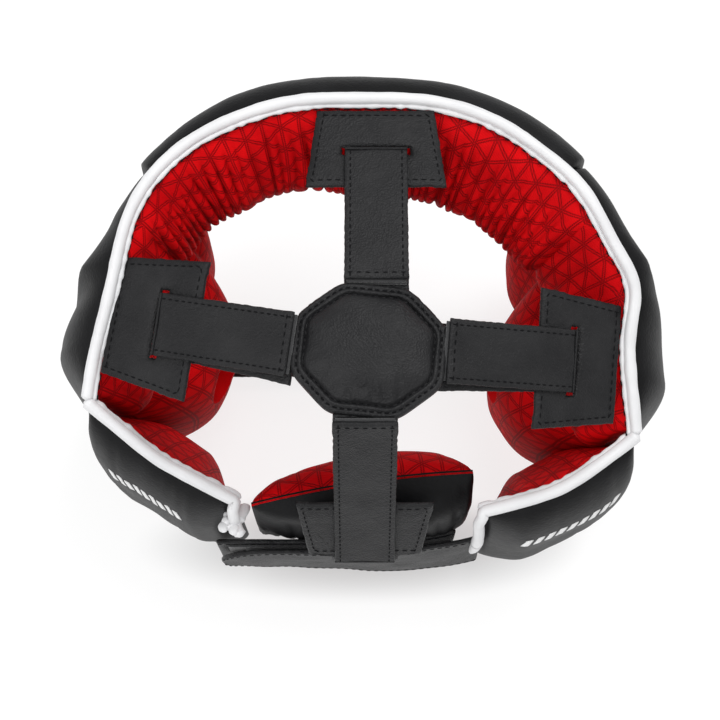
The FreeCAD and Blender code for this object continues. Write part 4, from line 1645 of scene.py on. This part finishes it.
    def build(self) -> None:
        """Build all four, and one piece for the loop tapes."""
        loops = []
        for spot in self.stations:
            self.tab(spot)
            self.strap(spot)
            tape = Band(f"{spot.name}_loop_tape", spot.reach + 2 * MM, spot.length, self.width - 2 * MM,
                        even(self.thickness), 1.2 * MM, 0.3 * MM, 0.1 * MM, 171)
            loops.append(tape.build(spot.place))
        whole = join("crown_loop_tapes", loops)
        dress(whole, self.finishes.nap, "hook_and_loop", "shell", ["crown_loops"])


@dataclass
class CrownPad:
    """Stuffed leather octagon where the crown straps meet."""

    finishes: Finishes
    centre: Tuple[float, float, float] = (-3.5 * MM, 28 * MM, 180.5 * MM)
    turn: float = -6.0
    half_width: float = 30 * MM
    half_length: float = 26.5 * MM
    edge_x: float = 13.5 * MM
    edge_y: float = 11.5 * MM
    rim: float = 5.0 * MM
    rim_height: float = 4.4 * MM
    dome: float = 6.2 * MM

    def _reach(self, angle: Array) -> Array:
        """Distance from the centre to the octagon's edge, with eased corners.

        Args:
            angle: angles about the centre.

        Returns:
            Distances.
        """
        wide, long = self.half_width, self.half_length
        slant = np.array([long - self.edge_y, wide - self.edge_x])
        size = np.linalg.norm(slant)
        slant = slant / size
        far = slant @ np.array([wide, self.edge_y])
        c, s = np.abs(np.cos(angle)), np.abs(np.sin(angle))
        inverse = (c / wide) ** 22 + (s / long) ** 22 + ((slant[0] * c + slant[1] * s) / far) ** 22
        return inverse ** (-1 / 22)

    def place(self, local: Array) -> Array:
        """Row-frame points of local ones."""
        turn = np.array(Matrix.Rotation(math.radians(self.turn), 3, "Z"))
        return np.asarray(local) @ turn.T + np.array(self.centre)

    def height(self, x: Array, y: Array) -> Array:
        """Height of the top face over the base.

        Args:
            x: first local coordinate.
            y: second local coordinate.

        Returns:
            Heights.
        """
        reach = self._reach(np.arctan2(y, x))
        distance = np.hypot(x, y)
        from_edge = reach - distance
        share = np.clip((from_edge - self.rim) / (reach - self.rim), 0.0, 1.0)
        dome = self.dome * (1.0 - (1.0 - share) ** 2.6) ** 0.55
        groove = 0.5 * MM * np.exp(-((from_edge - 2.2 * MM) / (0.6 * MM)) ** 2)
        groove = groove + 0.9 * MM * np.exp(-((from_edge - self.rim) / (0.7 * MM)) ** 2)
        ridge = 0.5 * MM * np.exp(-((from_edge - 3.6 * MM) / (1.0 * MM)) ** 2)
        creases = np.abs(ripple(np.arctan2(y, x) * 8.0, distance / (11 * MM), 181)) ** 0.55
        pull = rise(from_edge, 4.5 * MM, 7 * MM) * (1 - rise(from_edge, 8 * MM, 17 * MM))
        wrinkles = 1.9 * MM * (1.0 - creases) * pull * (0.12 + 0.88 * rise(y, 2 * MM, 20 * MM))
        lumps = 0.25 * MM * ripple(x / (9 * MM), y / (6 * MM), 182)
        edge_round = 1.2 * MM * (1.0 - np.sqrt(np.clip(from_edge / (1.2 * MM), 0.0, 1.0)))
        return self.rim_height - edge_round + dome - groove + ridge - wrinkles + lumps * rise(
            from_edge, 5 * MM, 10 * MM)

    def build(self) -> None:
        """Build the pad and its two rows of stitches."""
        around, rings = 176, 64
        angle = np.linspace(0.0, 2.0 * math.pi, around, endpoint=False)
        share = np.sqrt(np.linspace(1.0, 0.0004, rings))
        reach = self._reach(angle)
        x = share[:, None] * (reach * np.cos(angle))[None]
        y = share[:, None] * (reach * np.sin(angle))[None]
        top = np.stack([x, y, self.height(x, y)], -1)
        fray = 1.0 + 0.006 * ripple(np.arange(around) * 0.8, 0.0, 183)
        top[0, :, :2] *= fray[:, None]
        base_x = np.stack([x[0], x[0] * 0.97, x[-1]])
        base_y = np.stack([y[0], y[0] * 0.97, y[-1]])
        base_z = np.stack([np.full(around, 0.8 * MM), np.zeros(around), np.zeros(around)])
        bottom = np.stack([base_x, base_y, base_z], -1)
        rows = np.concatenate([bottom[::-1], top])
        local = rows.reshape(-1, 3)
        faces = tube_faces(len(rows), around)
        made = outwards(new_object("crown_pad_leather", self.place(local), faces, local[:, :2]))
        dress(made, self.finishes.strap, "outer_leather", "shell",
              ["crown_cover", "crown_base", "crown_foam"])
        lines = []
        for inset in (2.2 * MM, self.rim):
            shrink = reach - inset
            lx, ly = shrink * np.cos(angle), shrink * np.sin(angle)
            line = np.stack([lx, ly, self.height(lx, ly) + 0.12 * MM], -1)
            lines.append(self.place(np.concatenate([line, line[:1]])))
        Stitching(2.9 * MM, 2.1 * MM, 0.36 * MM).sew(
            "crown_pad_stitches", lines, self.finishes.thread, "outer_leather", "shell")


@dataclass
class RearPad:
    """Pad under the back of the head, turned a little towards the right wing."""

    finishes: Finishes
    seam_y: float = 66 * MM
    slant: float = 0.15
    bow: float = 2.5 * MM
    spread: float = 4 * MM

    def build(self) -> None:
        """Build the lining cushion and the creased leather cover."""
        low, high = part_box("rear_pad_foam")
        middle = 0.5 * (high.x + low.x)
        half = 0.5 * (high.x - low.x) + self.spread

        def plan(q: Array) -> Tuple[Array, Array]:
            """Plan of the pad, bowed back at both ends."""
            x = middle - q
            bow = (q / half) ** 2
            y = self.seam_y + self.slant * (x - middle) + self.bow * bow
            normal = np.stack([-self.slant + 0.0 * x, 1.0 + 0.0 * x], -1)
            return np.stack([x, y], -1), normal / math.hypot(1.0, self.slant)

        def top(y: Array) -> Array:
            """Top of the pad."""
            return np.full(np.shape(y), high.z + 0.5 * MM)

        def bottom(y: Array) -> Array:
            """Bottom of the pad."""
            return np.full(np.shape(y), low.z)

        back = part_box("rear_pad_cover")[1].y

        def cover_depth(q: Array, v: Array) -> Array:
            """Depth from the seam to the pad's back."""
            points, _ = plan(q)
            return np.maximum(back - 1.0 * MM - points[..., 1], 6 * MM)

        cover = Cushion("rear_pad_cushion_cover", plan, -half, half, top, bottom, cover_depth, Face.OUTER,
                        pucker=1.9 * MM, pucker_pitch=9 * MM, lumps=1.7 * MM, seed=201, rows=64,
                        end_width=24 * MM, end_depth=0.22, crown=3.6, pleat=2.4 * MM,
                        pleat_pitch=9 * MM, pleat_from=0.0).build()
        dress(cover, self.finishes.cover, "outer_leather", "shell", ["rear_pad_cover", "rear_pad_foam"])
        lining = Cushion("rear_pad_cushion_lining", plan, -half, half, top, bottom,
                         lambda q, v: 16 * MM * (1.0 - 0.4 * (q / half) ** 2), Face.INNER, pucker=0.5 * MM,
                         lumps=0.7 * MM, seed=203, rows=52, end_width=16 * MM, end_depth=0.2,
                         crown=3.0).build()
        dress(lining, self.finishes.lining, "lining", "shell", ["rear_pad_lining"])


@dataclass
class Closure:
    """Rear band with loop tape, and the closure strap that laps over it."""

    finishes: Finishes
    bend: float = 5 * MM
    bend_reach: float = 44 * MM
    strap_lean: float = 4 * MM
    hook_lean: float = 3 * MM
    strap_tip: float = 30 * MM

    def _upright(self, node: str, flip: bool, lean: float = 0.0) -> Tuple[Place, float, float]:
        """Lay strap coordinates onto an upright CAD strip.

        Args:
            node: CAD strip.
            flip: start from the wearer's left end.
            lean: how far the lower edge stands out at the start.

        Returns:
            The map, the strip's length and its width.
        """
        low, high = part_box(node)
        height = high.z - low.z
        length = high.x - low.x

        def place(local: Array) -> Array:
            """Row-frame points of strap coordinates."""
            local = np.asarray(local)
            x = (high.x - local[:, 0]) if flip else (low.x + local[:, 0])
            share = 1.0 - rise(local[:, 0], 0.0, 0.75 * length)
            bend = self.bend * (np.maximum(-x, 0.0) / self.bend_reach) ** 2
            y = low.y + local[:, 2] - bend + lean * share * (0.5 - local[:, 1] / height)
            return np.stack([x, y, 0.5 * (low.z + high.z) + local[:, 1]], -1)

        return place, length, height

    def build(self) -> None:
        """Build the band, the strap and their tapes."""
        thread = self.finishes.thread
        place, length, width = self._upright("rear_band", True)
        band = Band("rear_band_leather", -3 * MM, length, width, even(0.0), wave=0.25 * MM, seed=211)
        dress(band.build(place), self.finishes.strap, "strap_leather", "shell", ["rear_band"])
        Stitching().sew("rear_band_stitches", band.seam_paths(place), thread, "strap_leather", "shell")
        place, length, width = self._upright("rear_loop", True)
        tape = Band("rear_loop_tape", 0.0, length, width, even(0.0), 1.2 * MM, 0.3 * MM, 0.1 * MM, 212)
        dress(tape.build(place), self.finishes.nap, "hook_and_loop", "shell", ["rear_loop"])
        place, length, width = self._upright("closure_strap", False, self.strap_lean)
        strap = Band("closure_strap_leather", 4 * MM, length, width, even(0.3 * MM), wave=0.5 * MM, seed=213,
                     tip=self.strap_tip, cup=-0.3 * MM)
        dress(strap.build(place), self.finishes.strap, "strap_leather", "closure", ["closure_strap"])
        Stitching().sew("closure_strap_stitches", strap.seam_paths(place), thread, "strap_leather", "closure")
        place, length, width = self._upright("closure_hook", False, self.hook_lean)
        tape = Band("closure_hook_tape", 0.0, length - 8 * MM, width, even(0.0), 1.1 * MM, 0.3 * MM,
                    0.08 * MM, 214)
        dress(tape.build(place), self.finishes.nap, "hook_and_loop", "closure", ["closure_hook"])


@dataclass
class ChinStrap:
    """Strap under the chin and the tail that closes over it."""

    finishes: Finishes

    def _flat(self, node: str) -> Tuple[Place, float, float]:
        """Lay strap coordinates onto a level CAD strip.

        Args:
            node: CAD strip.

        Returns:
            The map, the strip's length and its width.
        """
        low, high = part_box(node)

        def place(local: Array) -> Array:
            """Row-frame points of strap coordinates."""
            local = np.asarray(local)
            return local + np.array([low.x, 0.5 * (low.y + high.y), low.z])

        return place, high.x - low.x, high.y - low.y

    def build(self) -> None:
        """Build the straps and tapes."""
        pieces = (
            ("chin_strap", "shell", "strap_leather", 6 * MM, 2.0 * MM),
            ("chin_anchor", "shell", "strap_leather", 0.0, 2.0 * MM),
            ("chin_tail", "chin_closure", "strap_leather", 0.0, 2.0 * MM),
            ("chin_loop", "shell", "hook_and_loop", 0.0, 1.1 * MM),
            ("chin_hook", "chin_closure", "hook_and_loop", 0.0, 1.1 * MM),
        )
        for number, (node, body, slot, extra, thick) in enumerate(pieces):
            place, length, width = self._flat(node)
            tape = slot == "hook_and_loop"
            start = -7 * MM if node == "chin_anchor" else 0.0
            band = Band(f"{node}_piece", start, length + extra, width, even(0.0), thick, 0.4 * MM,
                        0.08 * MM if tape else 0.2 * MM, 221 + number)
            made = band.build(place)
            dress(made, self.finishes.nap if tape else self.finishes.strap, slot, body, [node])
            if not tape and node != "chin_anchor":
                paths = band.seam_paths(place)
                Stitching().sew(f"{node}_stitches", paths, self.finishes.thread, slot, body)


@dataclass
class Studio:
    """Pale glowing floor with a shadow painted behind the headgear, soft lights and the camera."""

    target: Tuple[float, float, float] = (0.0, 11 * MM, 100 * MM)
    distance: float = 0.8
    tilt: float = 14.0
    lens: float = 92.0
    glow: float = 0.8
    sky: float = 0.55
    floor: float = 40.0
    lights: Sequence[Tuple[str, Tuple[float, float, float], float, float]] = (
        ("key", (-0.5, -0.7, 1.7), 1.0, 20.0),
        ("fill", (0.8, 0.6, 1.3), 1.2, 10.0),
        ("back", (0.1, 1.3, 0.9), 0.9, 2.5),
    )
    # Centre and size of the shadow painted into the floor's glow.
    shadow_y: float = 78 * MM
    shadow_size: Tuple[float, float] = (70 * MM, 18 * MM)

    def build(self) -> None:
        """Set the stage."""
        bpy.ops.mesh.primitive_plane_add(size=self.floor, location=(0.0, 0.0, 0.0))
        floor = bpy.context.object
        floor.name = "studio_floor"
        shader = Shader("studio_floor")
        grain = shader.noise(shader.coordinates("Object"), 3.0)
        shader.set("Base Color", shader.mix(grain, rgba(0.23, 0.23, 0.23), rgba(0.25, 0.25, 0.25)))
        shader.set("Roughness", 0.9)
        shader.set("Specular IOR Level", 0.0)
        # Painted shadow: the floor's glow fades from white to grey in a soft ellipse behind the rear closure.
        x, y = shader.parts(shader.coordinates("Object"))
        wide, deep = self.shadow_size
        behind = (y - self.shadow_y) / deep
        away = (x / wide) * (x / wide) + behind * behind
        lit = away.fade(0.0, 2.6)
        shader.set("Emission Color", shader.mix(lit, rgba(0.55, 0.55, 0.55), rgba(1.0, 1.0, 1.0)))
        shader.set("Emission Strength", self.glow)
        floor.data.materials.append(shader.material)
        world = bpy.data.worlds.new("studio_world")
        world.use_nodes = True
        sky = world.node_tree.nodes["Background"]
        sky.inputs[0].default_value = rgba(1.0, 1.0, 1.0)
        sky.inputs[1].default_value = self.sky
        bpy.context.scene.world = world
        for name, place, size, power in self.lights:
            self._light(name, place, size, power)
        camera = bpy.data.cameras.new("camera")
        camera.lens = self.lens
        camera.sensor_width = 36.0
        camera.clip_start = 0.01
        holder = bpy.data.objects.new("camera", camera)
        tilt = math.radians(self.tilt)
        away = Vector((0.0, math.sin(tilt), math.cos(tilt)))
        holder.location = Vector(self.target) + self.distance * away
        look = Vector(self.target) - holder.location
        holder.rotation_euler = look.to_track_quat("-Z", "Y").to_euler()
        bpy.context.scene.collection.objects.link(holder)
        bpy.context.scene.camera = holder
        bpy.context.scene.view_settings.view_transform = "Standard"

    @staticmethod
    def _light(name: str, place: Tuple[float, float, float], size: float, power: float) -> None:
        """Square soft light aimed at the headgear.

        Args:
            name: object name.
            place: position.
            size: side of the square.
            power: power in watts.
        """
        lamp = bpy.data.lights.new(name, "AREA")
        lamp.size = size
        lamp.energy = power
        holder = bpy.data.objects.new(name, lamp)
        holder.location = place
        aim = Vector((0.0, 0.0, 80 * MM)) - Vector(place)
        holder.rotation_euler = aim.to_track_quat("-Z", "Y").to_euler()
        bpy.context.scene.collection.objects.link(holder)


def main() -> None:
    """Build the headgear."""
    logging.basicConfig(level=logging.INFO, format="%(name)s %(message)s")
    finishes = Finishes()
    seam = SeamLine()
    Shell(finishes, seam).build()
    left = WingLine(seam, Side.LEFT, turn=148.4, length=69 * MM, bow=3 * MM)
    right = WingLine(seam, Side.RIGHT, turn=155.4, length=67.5 * MM, bow=5 * MM)
    Wing(finishes, left, "shell").build()
    Wing(finishes, right, "right_wing").build()
    for assembly in (CrownStraps, CrownPad, RearPad, Closure, ChinStrap):
        assembly(finishes).build()
    Studio().build()


if __name__ == "__main__":
    main()
